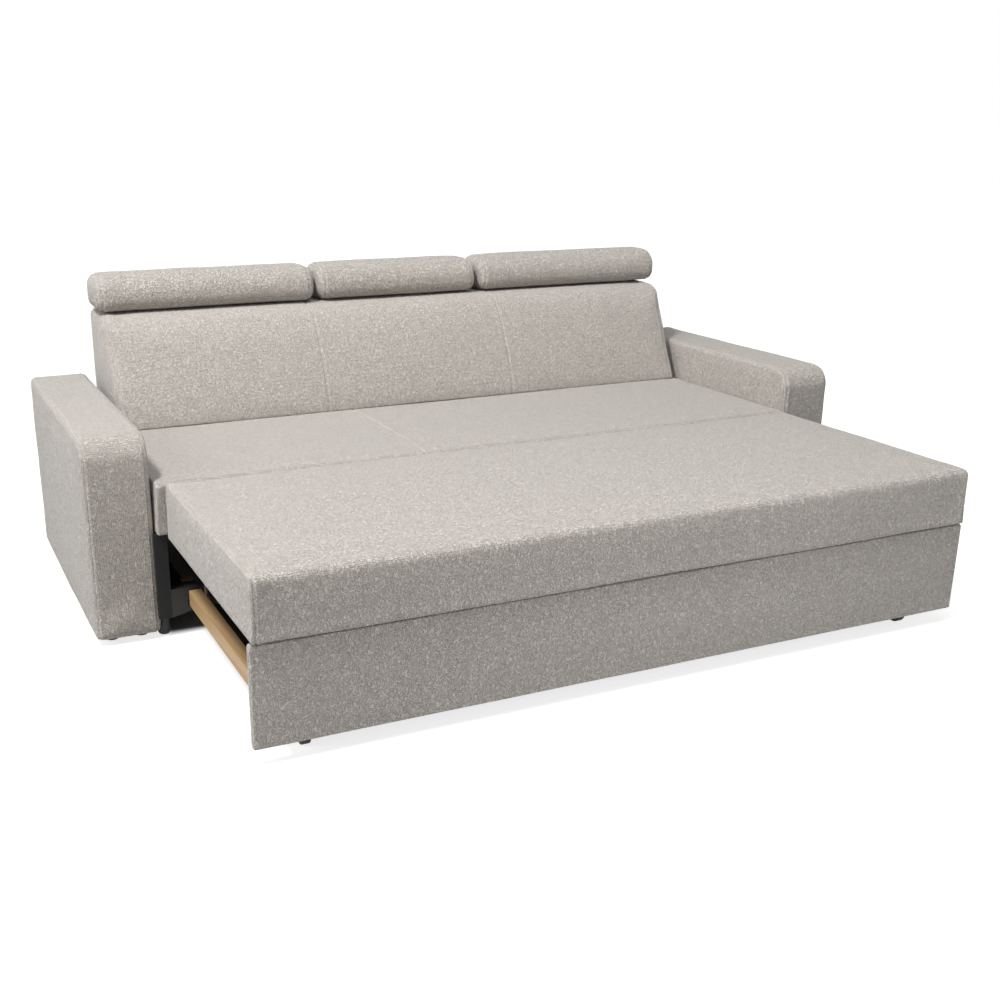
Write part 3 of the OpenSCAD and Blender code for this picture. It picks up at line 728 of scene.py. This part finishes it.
def makePad(name, node, body, extra):
    low, high = padBox(node, extra)
    middle = (high + low) / 2
    half = (high - low) / 2
    shrink = padValues["shrink"]
    piece = newBlock(name, low + Vector((shrink, shrink, 0)), high - Vector((shrink, shrink, shrink)))
    roundEdges(piece, padValues["frontEdge"], lambda a, b: runsAcross(a, b) and a.z > middle.z)
    roundEdges(
        piece, padValues["sideEdge"],
        lambda a, b: liesSideways(a, b) and max(a.z, b.z) > low.z + tiny,
    )
    roundEdges(piece, padValues["lowEdge"], lambda a, b: max(a.z, b.z) < low.z + tiny)
    stuff(piece, padValues, lambda co: co.z < low.z + padValues["held"])
    ends = [low.x + padValues["panel"], high.x - padValues["panel"]] if extra["panels"] else []
    cutSeams(piece, extra["cuts"] + ends, padValues["offsets"])

    def rule(co, normal):
        u = min(1, abs(co.x - middle.x) / half.x)
        v = min(1, abs(co.y - middle.y) / half.y)
        w = (co.z - middle.z) / half.z
        move = Vector((0, 0, 0))
        if w > 0:
            move.z += extra["rise"] * (1 - u ** 6) * (1 - v ** 4) * w
            for cut in extra["cuts"]:
                move += normal * seamDip(co.x - cut, padValues["cutWidth"], padValues["seam"])
        if w > 0 or co.y < low.y + padValues["panelFront"]:
            for end in ends:
                move += normal * seamDip(co.x - end, padValues["panelWidth"], padValues["seam"])
        if abs(normal.x) > padValues["squarely"]:
            move.x += math.copysign(extra["bulge"] * (1 - w * w) * (1 - v ** 4), co.x - middle.x)
        if normal.y < -padValues["squarely"]:
            move.y -= padValues["frontSwell"] * (1 - w * w) * (1 - u ** 8)
        return move + normal * uneven(co, padValues["waves"])

    shapePoints(piece, rule)
    for vertex in piece.data.vertices:
        vertex.co.x = min(max(vertex.co.x, low.x - extra["bulge"]), high.x + extra["bulge"])
        vertex.co.y = min(max(vertex.co.y, low.y - padValues["proud"]), high.y)
        vertex.co.z = max(vertex.co.z, low.z)
        roundCorner(vertex.co, middle, half, extra["corner"], extra["cornerSide"])
    dress(piece, body, [node])
    return piece


mattress = makePad("mattressPad", "mattress_cushion", "mattress", mattressValues)
seat = makePad("seatPad", "seat_cushion", "sofa", seatValues)
print("pads done")


# Backrest: a leaning padded front with two sewn seams and returned sides
backValues = {
    "step": 0.022,
    "pressure": 3.2,
    "cap": 0.010,
    "shrink": 0.004,
    "lift": 0.001,  # how far the cloth lies above the solid
    "lean": 0.148,  # how far the top edge stands behind the lower edge
    "topDepth": 0.02,  # depth and height of the part that counts as the top edge
    "topHeight": 0.06,
    "held": 0.01,  # the cloth is held up to this height
    "heldRear": 0.06,  # and this near to the rear
    "topEdge": (0.040, 7),  # radius and segments of the rounded edges
    "sideEdge": (0.024, 5),
    "lowEdge": (0.010, 2),
    "seams": (-0.328, 0.328),  # sewn seams across the width
    "sideSeam": 0.027,  # how far the side seams lie from the ends
    "seamWidth": 0.0036,
    "seamDepth": 0.0020,
    "sideDepth": 0.0018,
    "pull": (0.05, 0.0012),  # how wide and deep the cloth is drawn in round a seam
    "offsets": (-0.010, -0.005, -0.0018, 0.0018, 0.005, 0.010),
    "belly": 0.010,  # how far the front swells half way up
    "facing": 0.3,  # how squarely a face looks forwards or up to count as the front
    "frontReach": 0.08,  # how far behind the top edge the front goes on
    "sideReach": 0.05,  # how far behind it the rounded edges of the sides go
    "longEdge": 0.06,  # lower edges longer than this are rounded
    "lowHeight": 0.01,  # height of the part that counts as the lower edge
    "wide": 0.014,  # how far the cloth swells past the solid's sides
    "swell": 0.013,  # and how much more at the front of the sides
    "swellFrom": 0.85,  # distance from the middle where that starts
    "swellDepth": 0.12,  # and how far back it reaches
    "swellLow": 0.25,  # its share at the lower edge
    "swellRise": 1.3,  # and how fast that grows with the height
    "crest": 0.0012,  # how far the top may stand past the solid
    "stitch": 0.0065,  # how far the stitches lie from a seam
    "waves": ((3.1, 0.0020), (9.0, 0.0009)),
}


def backBox():
    low, high = boxOf("back_cushion")
    wide = Vector((backValues["wide"], 0, 0))
    return low - wide, high + wide


def makeBack():
    low, high = backBox()
    _, coverHigh = boxOf("back_cover")
    shrink = backValues["shrink"]
    piece = newBlock(
        "backPad",
        (low.x + shrink, low.y + shrink, low.z + backValues["lift"]),
        (high.x - shrink, coverHigh.y - shrink, high.z + backValues["lift"]),
    )
    lean = backValues["lean"]
    middleY = (low.y + coverHigh.y) / 2
    for vertex in piece.data.vertices:
        if vertex.co.y < middleY and vertex.co.z > (low.z + high.z) / 2:
            vertex.co.y += lean
    frontTop = low.y + lean + backValues["topDepth"]
    nearTop = high.z - backValues["topHeight"]
    sideRear = frontTop + backValues["sideReach"]
    nearLow = low.z + backValues["lowHeight"]
    roundEdges(
        piece, backValues["topEdge"],
        lambda a, b: max(a.y, b.y) < frontTop and min(a.z, b.z) > nearTop,
    )
    roundEdges(
        piece, backValues["sideEdge"],
        lambda a, b: liesSideways(a, b) and (max(a.y, b.y) < sideRear or min(a.z, b.z) > nearTop),
    )
    roundEdges(
        piece, backValues["lowEdge"],
        lambda a, b: (a - b).length > backValues["longEdge"] and max(a.z, b.z) < nearLow,
    )
    facing = backValues["facing"]
    heldRear = coverHigh.y - backValues["heldRear"]
    stuff(piece, backValues, lambda co: co.y > heldRear or co.z < low.z + backValues["held"])
    ends = [low.x + backValues["sideSeam"], high.x - backValues["sideSeam"]]
    cutSeams(piece, list(backValues["seams"]) + ends, backValues["offsets"])

    def rule(co, normal):
        move = Vector((0, 0, 0))
        v = (co.z - low.z) / (high.z - low.z)
        if normal.y < -facing or (normal.z > facing and co.y < frontTop + backValues["frontReach"]):
            move.y -= backValues["belly"] * arch(v) * (1 - min(1, abs(co.x / high.x)) ** 6)
            for seam in backValues["seams"]:
                dip = seamDip(co.x - seam, backValues["seamWidth"], backValues["seamDepth"])
                move += normal * (dip + groove(co.x - seam, *backValues["pull"]))
            for end in ends:
                move += normal * seamDip(co.x - end, backValues["seamWidth"], backValues["sideDepth"])
        start = backValues["swellFrom"]
        if abs(co.x) > start:
            depth = max(0, 1 - max(0, co.y - low.y - lean * v) / backValues["swellDepth"])
            edge = (abs(co.x) - start) / (high.x - start)
            grown = min(1, backValues["swellLow"] + backValues["swellRise"] * v)
            move.x += math.copysign(backValues["swell"] * depth * edge * grown, co.x)
        return move + normal * uneven(co, backValues["waves"])

    shapePoints(piece, rule)
    for vertex in piece.data.vertices:
        vertex.co.z = min(max(vertex.co.z, low.z), high.z + backValues["crest"])
        vertex.co.y = min(vertex.co.y, coverHigh.y)
    # the backrest wears the darker copy of the cloth, painted shade
    dress(piece, "sofa", ["back_cushion"], material=shadedSmoothCloth)
    return piece


back = makeBack()
print("backrest done")


# Headrests: three fat rolls, round at the front, with sewn end panels
rollValues = {
    "step": 0.017,
    "pressure": 4.0,
    "cap": 0.010,
    "held": 0.004,  # the cloth is held up to this height
    "shrink": 0.004,
    "front": (0.058, 8),  # radius and segments of the rounded edges
    "frontLow": (0.032, 6),
    "lowDepth": 0.02,  # depth and height of the part that counts as the lower front edge
    "lowHeight": 0.01,
    "rear": (0.034, 6),
    "end": (0.034, 5),
    "panel": 0.027,  # how far the end panels' seams lie from the ends
    "seamWidth": 0.0026,
    "seamDepth": 0.0022,
    "offsets": (-0.006, -0.003, -0.001, 0.001, 0.003, 0.006),
    "out": (0.015, 0.028),  # how far the outer ends reach past the solids, left and right
    "in": 0.003,  # and the ends that face each other
    "flat": 0.008,  # how far the cloth lies under the solids' top
    "proud": 0.002,  # how far the cloth may stand past that box at its ends
    "stitch": 0.005,  # how far the stitches lie from a seam
    "waves": ((6.0, 0.0016), (15.0, 0.0005)),
}


def rollBox(side):
    low, high = boxOf(side + "_headrest_pad")
    low.x -= rollValues["out"][0] if side == "left" else rollValues["in"]
    high.x += rollValues["out"][1] if side == "right" else rollValues["in"]
    high.z -= rollValues["flat"]
    return low, high


def makeRoll(side):
    low, high = rollBox(side)
    middle = (high + low) / 2
    half = (high.x - low.x) / 2
    nearFront = low.y + rollValues["lowDepth"]
    nearLow = low.z + rollValues["lowHeight"]
    shrink = rollValues["shrink"]
    piece = newBlock(
        side + "HeadrestRoll",
        (low.x + shrink, low.y + shrink, low.z), (high.x - shrink, high.y - shrink, high.z - shrink),
    )
    roundEdges(
        piece, rollValues["front"],
        lambda a, b: runsAcross(a, b) and a.y < middle.y and a.z > middle.z,
    )
    roundEdges(
        piece, rollValues["frontLow"],
        lambda a, b: runsAcross(a, b) and a.y < nearFront and a.z < nearLow,
    )
    roundEdges(
        piece, rollValues["rear"],
        lambda a, b: runsAcross(a, b) and a.y > middle.y and a.z > middle.z,
    )
    roundEdges(piece, rollValues["end"], liesSideways)
    stuff(piece, rollValues, lambda co: co.z < low.z + rollValues["held"])
    cutSeams(piece, [low.x + rollValues["panel"], high.x - rollValues["panel"]], rollValues["offsets"])

    def rule(co, normal):
        inset = half - abs(co.x - middle.x)
        dip = seamDip(inset - rollValues["panel"], rollValues["seamWidth"], rollValues["seamDepth"])
        return normal * dip + normal * uneven(co, rollValues["waves"])

    shapePoints(piece, rule)
    for vertex in piece.data.vertices:
        proud = rollValues["proud"]
        vertex.co.x = min(max(vertex.co.x, low.x - proud), high.x + proud)
        vertex.co.z = max(vertex.co.z, low.z)
        vertex.co.y = min(vertex.co.y, high.y)
    dress(piece, side + "_headrest", [side + "_headrest_pad"])
    return piece


rolls = {side: makeRoll(side) for side in ("left", "middle", "right")}
print("headrests done")


# Arms: firm slabs with a large round at the front top and thin padding over boards
armValues = {
    "step": 0.026,
    "pressure": 3.0,
    "cap": 0.006,
    "held": 0.02,  # the cloth is held up to this height
    "grow": (0.009, 0.004),  # how far the cloth swells on the outer and the inner side
    "up": 0.004,
    "frontRound": (0.066, 10),  # radius and segments of the rounded edges
    "edge": (0.015, 3),
    "seam": 0.010,  # how far the seams lie from the sides
    "seamWidth": 0.0026,
    "seamDepth": 0.0013,
    "offsets": (-0.006, -0.003, -0.001, 0.001, 0.003, 0.006),
    "bulge": 0.004,
    "proud": 0.002,  # how far the cloth may stand past its box on the inner side
    "flatSide": 0.8,  # how squarely a face looks to the side to count as one
    "stitch": 0.0055,  # how far the stitches lie from a seam
    "waves": ((4.0, 0.0018), (11.0, 0.0006)),
}


# The cover swells past the boards, more on the outer side than on the inner
def armBox(side):
    low, high = boxOf(side + "_arm_cover")
    left, right = armValues["grow"] if side == "left" else reversed(armValues["grow"])
    return low - Vector((left, 0, 0)), high + Vector((right, 0, armValues["up"]))


# The sign is that of the outer side's direction along the width
def makeArm(side, sign):
    low, high = armBox(side)
    middle = (low + high) / 2
    half = (high - low) / 2
    piece = newBlock(side + "ArmPad", low, high)
    roundEdges(
        piece, armValues["frontRound"],
        lambda a, b: runsAcross(a, b) and a.y < middle.y and a.z > middle.z,
    )
    roundEdges(
        piece, armValues["edge"],
        lambda a, b: liesSideways(a, b) or a.y > middle.y or a.z < middle.z,
    )
    stuff(piece, armValues, lambda co: co.z < low.z + armValues["held"])
    seams = [low.x + armValues["seam"], high.x - armValues["seam"]]
    cutSeams(piece, seams, armValues["offsets"])

    def rule(co, normal):
        move = Vector((0, 0, 0))
        if abs(normal.x) < armValues["flatSide"]:
            for seam in seams:
                move += normal * seamDip(co.x - seam, armValues["seamWidth"], armValues["seamDepth"])
        elif normal.x * sign > 0:
            v = (co.y - middle.y) / half.y
            w = (co.z - middle.z) / half.z
            move.x += sign * armValues["bulge"] * (1 - v ** 4) * (1 - w ** 4)
        return move + normal * uneven(co, armValues["waves"])

    shapePoints(piece, rule)
    for vertex in piece.data.vertices:
        vertex.co.z = max(vertex.co.z, low.z)
        if sign > 0:
            vertex.co.x = max(vertex.co.x, low.x - armValues["proud"])
        else:
            vertex.co.x = min(vertex.co.x, high.x + armValues["proud"])
    dress(piece, "sofa", [side + "_arm_cover"])
    return piece


arms = {"left": makeArm("left", -1), "right": makeArm("right", 1)}
print("arms done")


# Cover of the pull-out's front panel
panelValues = {
    "wide": 0.006,
    "up": 0.003,
    "edge": (0.0042, 3),
    "mesh": 0.0052,
    "hem": 0.011,  # how far the hems lie from the ends
    "hemWidth": 0.003,
    "hemDepth": 0.0014,
    "offsets": (-0.003, 0, 0.003),
    "belly": 0.0035,
    "waves": (5.0, 0.0010),  # scale per metre and height
}


def makePanel():
    low, high = boxOf("front_cover")
    low -= Vector((panelValues["wide"], 0, 0))
    high += Vector((panelValues["wide"], 0, panelValues["up"]))
    piece = newBlock("panelCover", low, high)
    roundEdges(piece, panelValues["edge"], lambda a, b: True)
    applyModifier(piece, "REMESH", mode="VOXEL", voxel_size=panelValues["mesh"])
    edge = high.x - panelValues["hem"]
    cutSeams(piece, (-edge, edge), panelValues["offsets"])
    scale, height = panelValues["waves"]

    def rule(co, normal):
        move = Vector((0, 0, 0))
        if normal.y < -squarely:
            v = (co.z - low.z) / (high.z - low.z)
            move.y -= panelValues["belly"] * arch(v) * (1 - min(1, abs(co.x / high.x)) ** 8)
            move += normal * groove(abs(co.x) - edge, panelValues["hemWidth"], panelValues["hemDepth"])
            move += normal * noise.noise(co * scale) * height
        return move

    shapePoints(piece, rule)
    for vertex in piece.data.vertices:
        vertex.co.y = min(vertex.co.y, high.y)
    dress(piece, "pull_out", ["front_cover", "front_board"])


makePanel()
print("front panel done")


# The cloth back of the sofa, stretched flat over the panel
rearValues = {
    "start": 0.0125,  # how far its inner side lies behind the panel's front
    "edge": (0.006, 3),
    "mesh": 0.012,
    "seams": (-0.33, 0.33),
    "seamDepth": 0.0018,
    "hem": 0.022,  # how far the hems lie from the ends
    "hemDepth": 0.0014,
    "grooveWidth": 0.004,
    "offsets": (-0.004, 0, 0.004),
    "waves": (2.2, 0.0022),  # scale per metre and height
    "inset": 0.001,
    "stitch": 0.0065,  # how far the stitches lie from a seam
}


# Places of the seams and hems across the width
def rearLines(high):
    edge = high.x - rearValues["hem"]
    return rearValues["seams"] + (-edge, edge)


def makeRear():
    low, high = boxOf("back_cover")
    lowBoard, _ = boxOf("back_panel")
    piece = newBlock("rearCloth", (low.x, lowBoard.y + rearValues["start"], low.z), high)
    roundEdges(piece, rearValues["edge"], lambda a, b: True)
    applyModifier(piece, "REMESH", mode="VOXEL", voxel_size=rearValues["mesh"])
    cutSeams(piece, rearLines(high), rearValues["offsets"])
    edge = high.x - rearValues["hem"]
    width = rearValues["grooveWidth"]
    scale, height = rearValues["waves"]

    def rule(co, normal):
        if normal.y < squarely:
            return Vector((0, 0, 0))
        dip = sum(groove(co.x - line, width, rearValues["seamDepth"]) for line in rearValues["seams"])
        dip += groove(abs(co.x) - edge, width, rearValues["hemDepth"])
        return Vector((0, noise.noise(co * scale) * height - rearValues["inset"], 0)) + normal * dip

    shapePoints(piece, rule)
    dress(piece, "sofa", ["back_cover"])
    return piece


rear = makeRear()
print("rear cloth done")


# Topstitching beside the seams: rows of short raised stitches laid on the surface
stitchValues = {
    "length": 0.0062,
    "gap": 0.0036,
    "radius": 0.0009,
    "lift": 0.0003,
    "sides": 6,
    "wide": 1.1,  # the stitch's oval section, in radii
    "high": 0.8,
    "swell": ((0.0, 0.35), (0.18, 0.9), (0.5, 1.1), (0.82, 0.9), (1.0, 0.35)),  # size along its length
    "away": 0.12,  # a row is dropped on the surface from this far
    "reach": 0.4,  # and looks for it this far
}
dropDown = (0, 0, -1)
dropBack = (0, 1, 0)
dropForward = (0, -1, 0)
dropOnBend = (0, 0.7071, -0.7071)  # on the round of an arm
dropOnCrest = (0, 0.6, -0.8)  # on the backrest's top edge

# How far the rows' ends lie from the sides of their piece's box, and in how many steps each is found
rowValues = {
    "armLow": 0.01,
    "armRear": 0.03,
    "armSteps": (40, 60),  # down the front, along the top
    "bendSteps": 10,
    "backHigh": (0.13, 0.05),  # from the front and from the top
    "backLow": 0.02,
    "backCrest": ((0.20, 0), (0.155, 0.03)),  # start and end, each from the front and from the top
    "backSteps": (40, 8),
    "rear": 0.02,
    "rearSteps": 50,
    "rollFront": (0.05, 0.03),  # from the top and from the bottom
    "rollTop": (0.03, 0.05),  # from the rear and from the front
    "rollSteps": 16,
    "seatTop": (0.01, 0.56),  # both from the front
    "seatEdge": 0.02,  # the row along the front edge: from the front and from the ends
    "seatSteps": (60, 80),
    "mattressTop": 0.02,
    "mattressFront": (0.02, 0.015),  # from the top and from the bottom
    "mattressSteps": (60, 20),
}


# Point and normal at a distance along a line of points
def alongLine(points, normals, travelled, distance):
    k = 0
    while k < len(travelled) - 2 and travelled[k + 1] < distance:
        k += 1
    share = (distance - travelled[k]) / max(travelled[k + 1] - travelled[k], 1e-9)
    return points[k].lerp(points[k + 1], share), normals[k].lerp(normals[k + 1], share).normalized()


# One closed stitch from start to end; up is the normal of the surface under it
def addStitch(shape, start, end, up):
    along = (end - start).normalized()
    across = along.cross(up).normalized()
    sides = stitchValues["sides"]
    rings = []
    for share, size in stitchValues["swell"]:
        centre = start.lerp(end, share) + up * stitchValues["lift"]
        ring = []
        for k in range(sides):
            t = 2 * math.pi * k / sides
            out = across * math.cos(t) * stitchValues["wide"] + up * math.sin(t) * stitchValues["high"]
            ring.append(shape.verts.new(centre + out * stitchValues["radius"] * size))
        rings.append(ring)
    for low, high in zip(rings, rings[1:]):
        for k in range(sides):
            after = (k + 1) % sides
            shape.faces.new((low[k], low[after], high[after], high[k]))
    shape.faces.new(list(reversed(rings[0])))
    shape.faces.new(rings[-1])


# Adds a stitch for every step along a line of points
def stitchRow(shape, points, normals):
    step = stitchValues["length"] + stitchValues["gap"]
    travelled = [0.0]
    for a, b in zip(points, points[1:]):
        travelled.append(travelled[-1] + (b - a).length)
    for k in range(int(travelled[-1] / step)):
        start, up = alongLine(points, normals, travelled, k * step)
        end, _ = alongLine(points, normals, travelled, k * step + stitchValues["length"])
        addStitch(shape, start, end, up)


# Drops a line of points on a piece along aim and gives the hit points with their normals
def surfaceLine(tree, points, aim):
    found, ups = [], []
    for point in points:
        start = point - Vector(aim) * stitchValues["away"]
        place, normal, _, _ = tree.ray_cast(start, Vector(aim), stitchValues["reach"])
        if place is not None:
            found.append(place)
            ups.append(normal)
    return found, ups


# Stitches one piece; each row is a line of points and the direction in which it is dropped
def makeStitches(name, piece, body, rows):
    tree = BVHTree.FromPolygons(
        [vertex.co.copy() for vertex in piece.data.vertices],
        [tuple(face.vertices) for face in piece.data.polygons],
    )
    mesh = bpy.data.meshes.new(name)
    shape = bmesh.new()
    for points, aim in rows:
        line, ups = surfaceLine(tree, points, aim)
        if len(line) > 2:
            stitchRow(shape, line, ups)
    bmesh.ops.recalc_face_normals(shape, faces=shape.faces)
    shape.to_mesh(mesh)
    shape.free()
    stitches = bpy.data.objects.new(name, mesh)
    scene.collection.objects.link(stitches)
    stitches.data.materials.append(thread)
    smooth(stitches)
    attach(stitches, body)
    print("stitches", name, len(mesh.polygons), "faces")


# A straight row from start to end, found on the surface at count steps
def rowOf(start, end, count, aim):
    a, b = Vector(start), Vector(end)
    return [a.lerp(b, k / count) for k in range(count + 1)], aim


# The outer seam is stitched over the top, the round and the front, the inner one at the front alone
def stitchArm(side):
    low, high = armBox(side)
    radius = armValues["frontRound"][0]
    inset = armValues["seam"] + armValues["stitch"]
    lines = (low.x + inset, high.x - inset)
    outer, inner = lines if side == "left" else reversed(lines)
    centre = Vector((outer, low.y + radius, high.z - radius))
    bend = []
    for k in range(1, rowValues["bendSteps"]):
        t = math.radians(90 + 90 * k / rowValues["bendSteps"])
        bend.append(centre + Vector((0, math.cos(t) * radius, math.sin(t) * radius)))
    frontSteps, topSteps = rowValues["armSteps"]
    lowEnd = low.z + rowValues["armLow"]
    rearEnd = high.y - rowValues["armRear"]
    rows = [
        rowOf((x, low.y, high.z - radius), (x, low.y, lowEnd), frontSteps, dropBack)
        for x in (inner, outer)
    ]
    rows.append(rowOf((outer, rearEnd, high.z), (outer, low.y + radius, high.z), topSteps, dropDown))
    rows.append((bend, dropOnBend))
    makeStitches(side + "ArmStitch", arms[side], "sofa", rows)


def stitchBack():
    low, high = backBox()
    ends = (low.x + backValues["sideSeam"], high.x - backValues["sideSeam"])
    frontSteps, crestSteps = rowValues["backSteps"]
    deep, down = rowValues["backHigh"]
    lowEnd = low.z + rowValues["backLow"]
    rows = []
    for seam in backValues["seams"] + ends:
        for x in (seam - backValues["stitch"], seam + backValues["stitch"]):
            rows.append(rowOf((x, low.y + deep, high.z - down), (x, low.y, lowEnd), frontSteps, dropBack))
            crest = [(x, low.y + far, high.z - under) for far, under in rowValues["backCrest"]]
            rows.append(rowOf(*crest, crestSteps, dropOnCrest))
    makeStitches("backSeamStitch", back, "sofa", rows)


def stitchRear():
    low, high = boxOf("back_cover")
    beside = rearValues["stitch"]
    end, steps = rowValues["rear"], rowValues["rearSteps"]
    rows = [
        rowOf((x, high.y, high.z - end), (x, high.y, low.z + end), steps, dropForward)
        for line in rearLines(high) for x in (line - beside, line + beside)
    ]
    makeStitches("rearStitch", rear, "sofa", rows)


def stitchRoll(side):
    low, high = rollBox(side)
    inset = rollValues["panel"] + rollValues["stitch"]
    steps = rowValues["rollSteps"]
    down, up = rowValues["rollFront"]
    behind, ahead = rowValues["rollTop"]
    rows = []
    for x in (low.x + inset, high.x - inset):
        rows.append(rowOf((x, low.y, high.z - down), (x, low.y, low.z + up), steps, dropBack))
        rows.append(rowOf((x, high.y - behind, high.z), (x, low.y + ahead, high.z), steps, dropDown))
    makeStitches(side + "RollStitch", rolls[side], side + "_headrest", rows)


def stitchSeat():
    low, high = padBox("seat_cushion", seatValues)
    beside = padValues["stitch"]
    start, end = rowValues["seatTop"]
    topSteps, edgeSteps = rowValues["seatSteps"]
    rows = [
        rowOf((x, low.y + start, high.z), (x, low.y + end, high.z), topSteps, dropDown)
        for cut in seatValues["cuts"] for x in (cut - beside, cut + beside)
    ]
    edge = rowValues["seatEdge"]
    y = low.y + edge
    rows.append(rowOf((low.x + edge, y, high.z), (high.x - edge, y, high.z), edgeSteps, dropDown))
    makeStitches("seatStitch", seat, "sofa", rows)


def stitchMattress():
    low, high = padBox("mattress_cushion", mattressValues)
    inset = padValues["panel"] + padValues["stitch"]
    end = rowValues["mattressTop"]
    down, up = rowValues["mattressFront"]
    topSteps, frontSteps = rowValues["mattressSteps"]
    rows = []
    for x in (low.x + inset, high.x - inset):
        rows.append(rowOf((x, low.y + end, high.z), (x, high.y - end, high.z), topSteps, dropDown))
        rows.append(rowOf((x, low.y, high.z - down), (x, low.y, low.z + up), frontSteps, dropBack))
    makeStitches("mattressStitch", mattress, "mattress", rows)


for side in arms:
    stitchArm(side)
stitchBack()
stitchRear()
for side in rolls:
    stitchRoll(side)
stitchSeat()
stitchMattress()


# Floor, backdrop and lamps
stageValues = {
    "size": 40,
    "sink": 0.0005,  # how far the floor lies under the feet, so that the two don't flicker
    "near": 0.76,  # light the camera sees from the floor by itself, near the sofa and far from it
    "far": 1.00,
    "brighten": (1.6, 6.0),  # distances from the middle between which it goes from one to the other
    "under": (1.00, -0.05, 0.87),  # half width, front and rear of the painted shade on the floor under the base
    "soft": 0.02,  # half width of the painted shade's soft edge
    "grey": (0.50, 0.50, 0.50, 1),  # the floor's colour under the lamps
    "world": 0.25,
}


# 1 where a ray from the camera or off a shiny surface sees a thing, and 0 for the light it gives
def seenShare(holder):
    path = addNode(holder, "ShaderNodeLightPath", {}, {})
    rays = {0: outputOf(path, "Is Camera Ray"), 1: outputOf(path, "Is Glossy Ray")}
    return addNode(holder, "ShaderNodeMath", {"operation": "MAXIMUM"}, rays)


# 1 below low and 0 above high, with a smooth step between
def fadeOut(material, value, low, high):
    return addNode(
        material, "ShaderNodeMapRange", {"interpolation_type": "SMOOTHSTEP"},
        {"Value": value, "From Min": low, "From Max": high, "To Min": 1.0, "To Max": 0.0},
    )


def makeFloor():
    deselect()
    bpy.ops.mesh.primitive_plane_add(size=stageValues["size"], location=(0, 0, -stageValues["sink"]))
    floor = bpy.context.object
    floor.name = "paleFloor"
    material = newMaterial("paleFloor")
    place = addNode(material, "ShaderNodeTexCoord", {}, {}, "Object")
    distance = addNode(material, "ShaderNodeVectorMath", {"operation": "LENGTH"}, {0: place}, 1)
    split = addNode(material, "ShaderNodeSeparateXYZ", {}, {0: place})
    sideways = addNode(material, "ShaderNodeMath", {"operation": "ABSOLUTE"}, {0: outputOf(split, 0)})
    depth = outputOf(split, 1)
    halfWidth, frontEdge, rearEdge = stageValues["under"]
    soft = stageValues["soft"]
    # Painted shade under the base: the floor's glow is taken out there, so it looks as dark as deep shade
    under = fadeOut(material, sideways, halfWidth - soft, halfWidth + soft)
    under = under * fadeOut(material, depth, rearEdge - soft, rearEdge + soft)
    under = under * (1 - fadeOut(material, depth, frontEdge - soft, frontEdge + soft))
    far = 1 - fadeOut(material, distance, *stageValues["brighten"])
    glow = (far * (stageValues["far"] - stageValues["near"]) + stageValues["near"]) * (1 - under)
    tint = addNode(material, "ShaderNodeCombineColor", {}, {0: glow, 1: glow, 2: glow})
    diffuse = addNode(material, "ShaderNodeBsdfDiffuse", {}, {"Color": stageValues["grey"]})
    shine = addNode(material, "ShaderNodeEmission", {}, {"Color": tint, "Strength": 1.0})
    both = addNode(material, "ShaderNodeAddShader", {}, {0: diffuse, 1: shine})
    seen = seenShare(material)
    connectOutput(material, addNode(material, "ShaderNodeMixShader", {}, {0: seen, 1: diffuse, 2: both}))
    floor.data.materials.append(material)


# White where it is seen, and weaker as a light
def makeWorld():
    world = bpy.data.worlds.new("studio")
    scene.world = world
    world.use_nodes = True
    world.node_tree.nodes.clear()
    plain, white = (
        addNode(world, "ShaderNodeBackground", {}, {"Color": (1, 1, 1, 1), "Strength": strength})
        for strength in (stageValues["world"], 1.0)
    )
    mixed = addNode(world, "ShaderNodeMixShader", {}, {0: seenShare(world), 1: plain, 2: white})
    connectOutput(world, mixed, "ShaderNodeOutputWorld")


# Place, size in metres and power in watts; all look at one point
lampValues = {
    "keyLamp": ((-2.8, -1.0, 4.8), 0.8, 228),
    "topLamp": ((0.0, -1.3, 5.3), 3.0, 98),
    "leftFill": ((-7.5, -0.5, 4.6), 3.4, 170),
    "frontFill": ((0.2, -2.5, 0.8), 1.3, 8.5),
}
lampAim = (0, 0, 0.4)


def makeLamp(name):
    place, size, power = lampValues[name]
    data = bpy.data.lights.new(name, "AREA")
    data.shape = "DISK"
    data.size = size
    data.energy = power
    pointAlong(bpy.data.objects.new(name, data), place, Vector(lampAim) - Vector(place))


makeFloor()
makeWorld()
for name in lampValues:
    makeLamp(name)

print("scene ready")
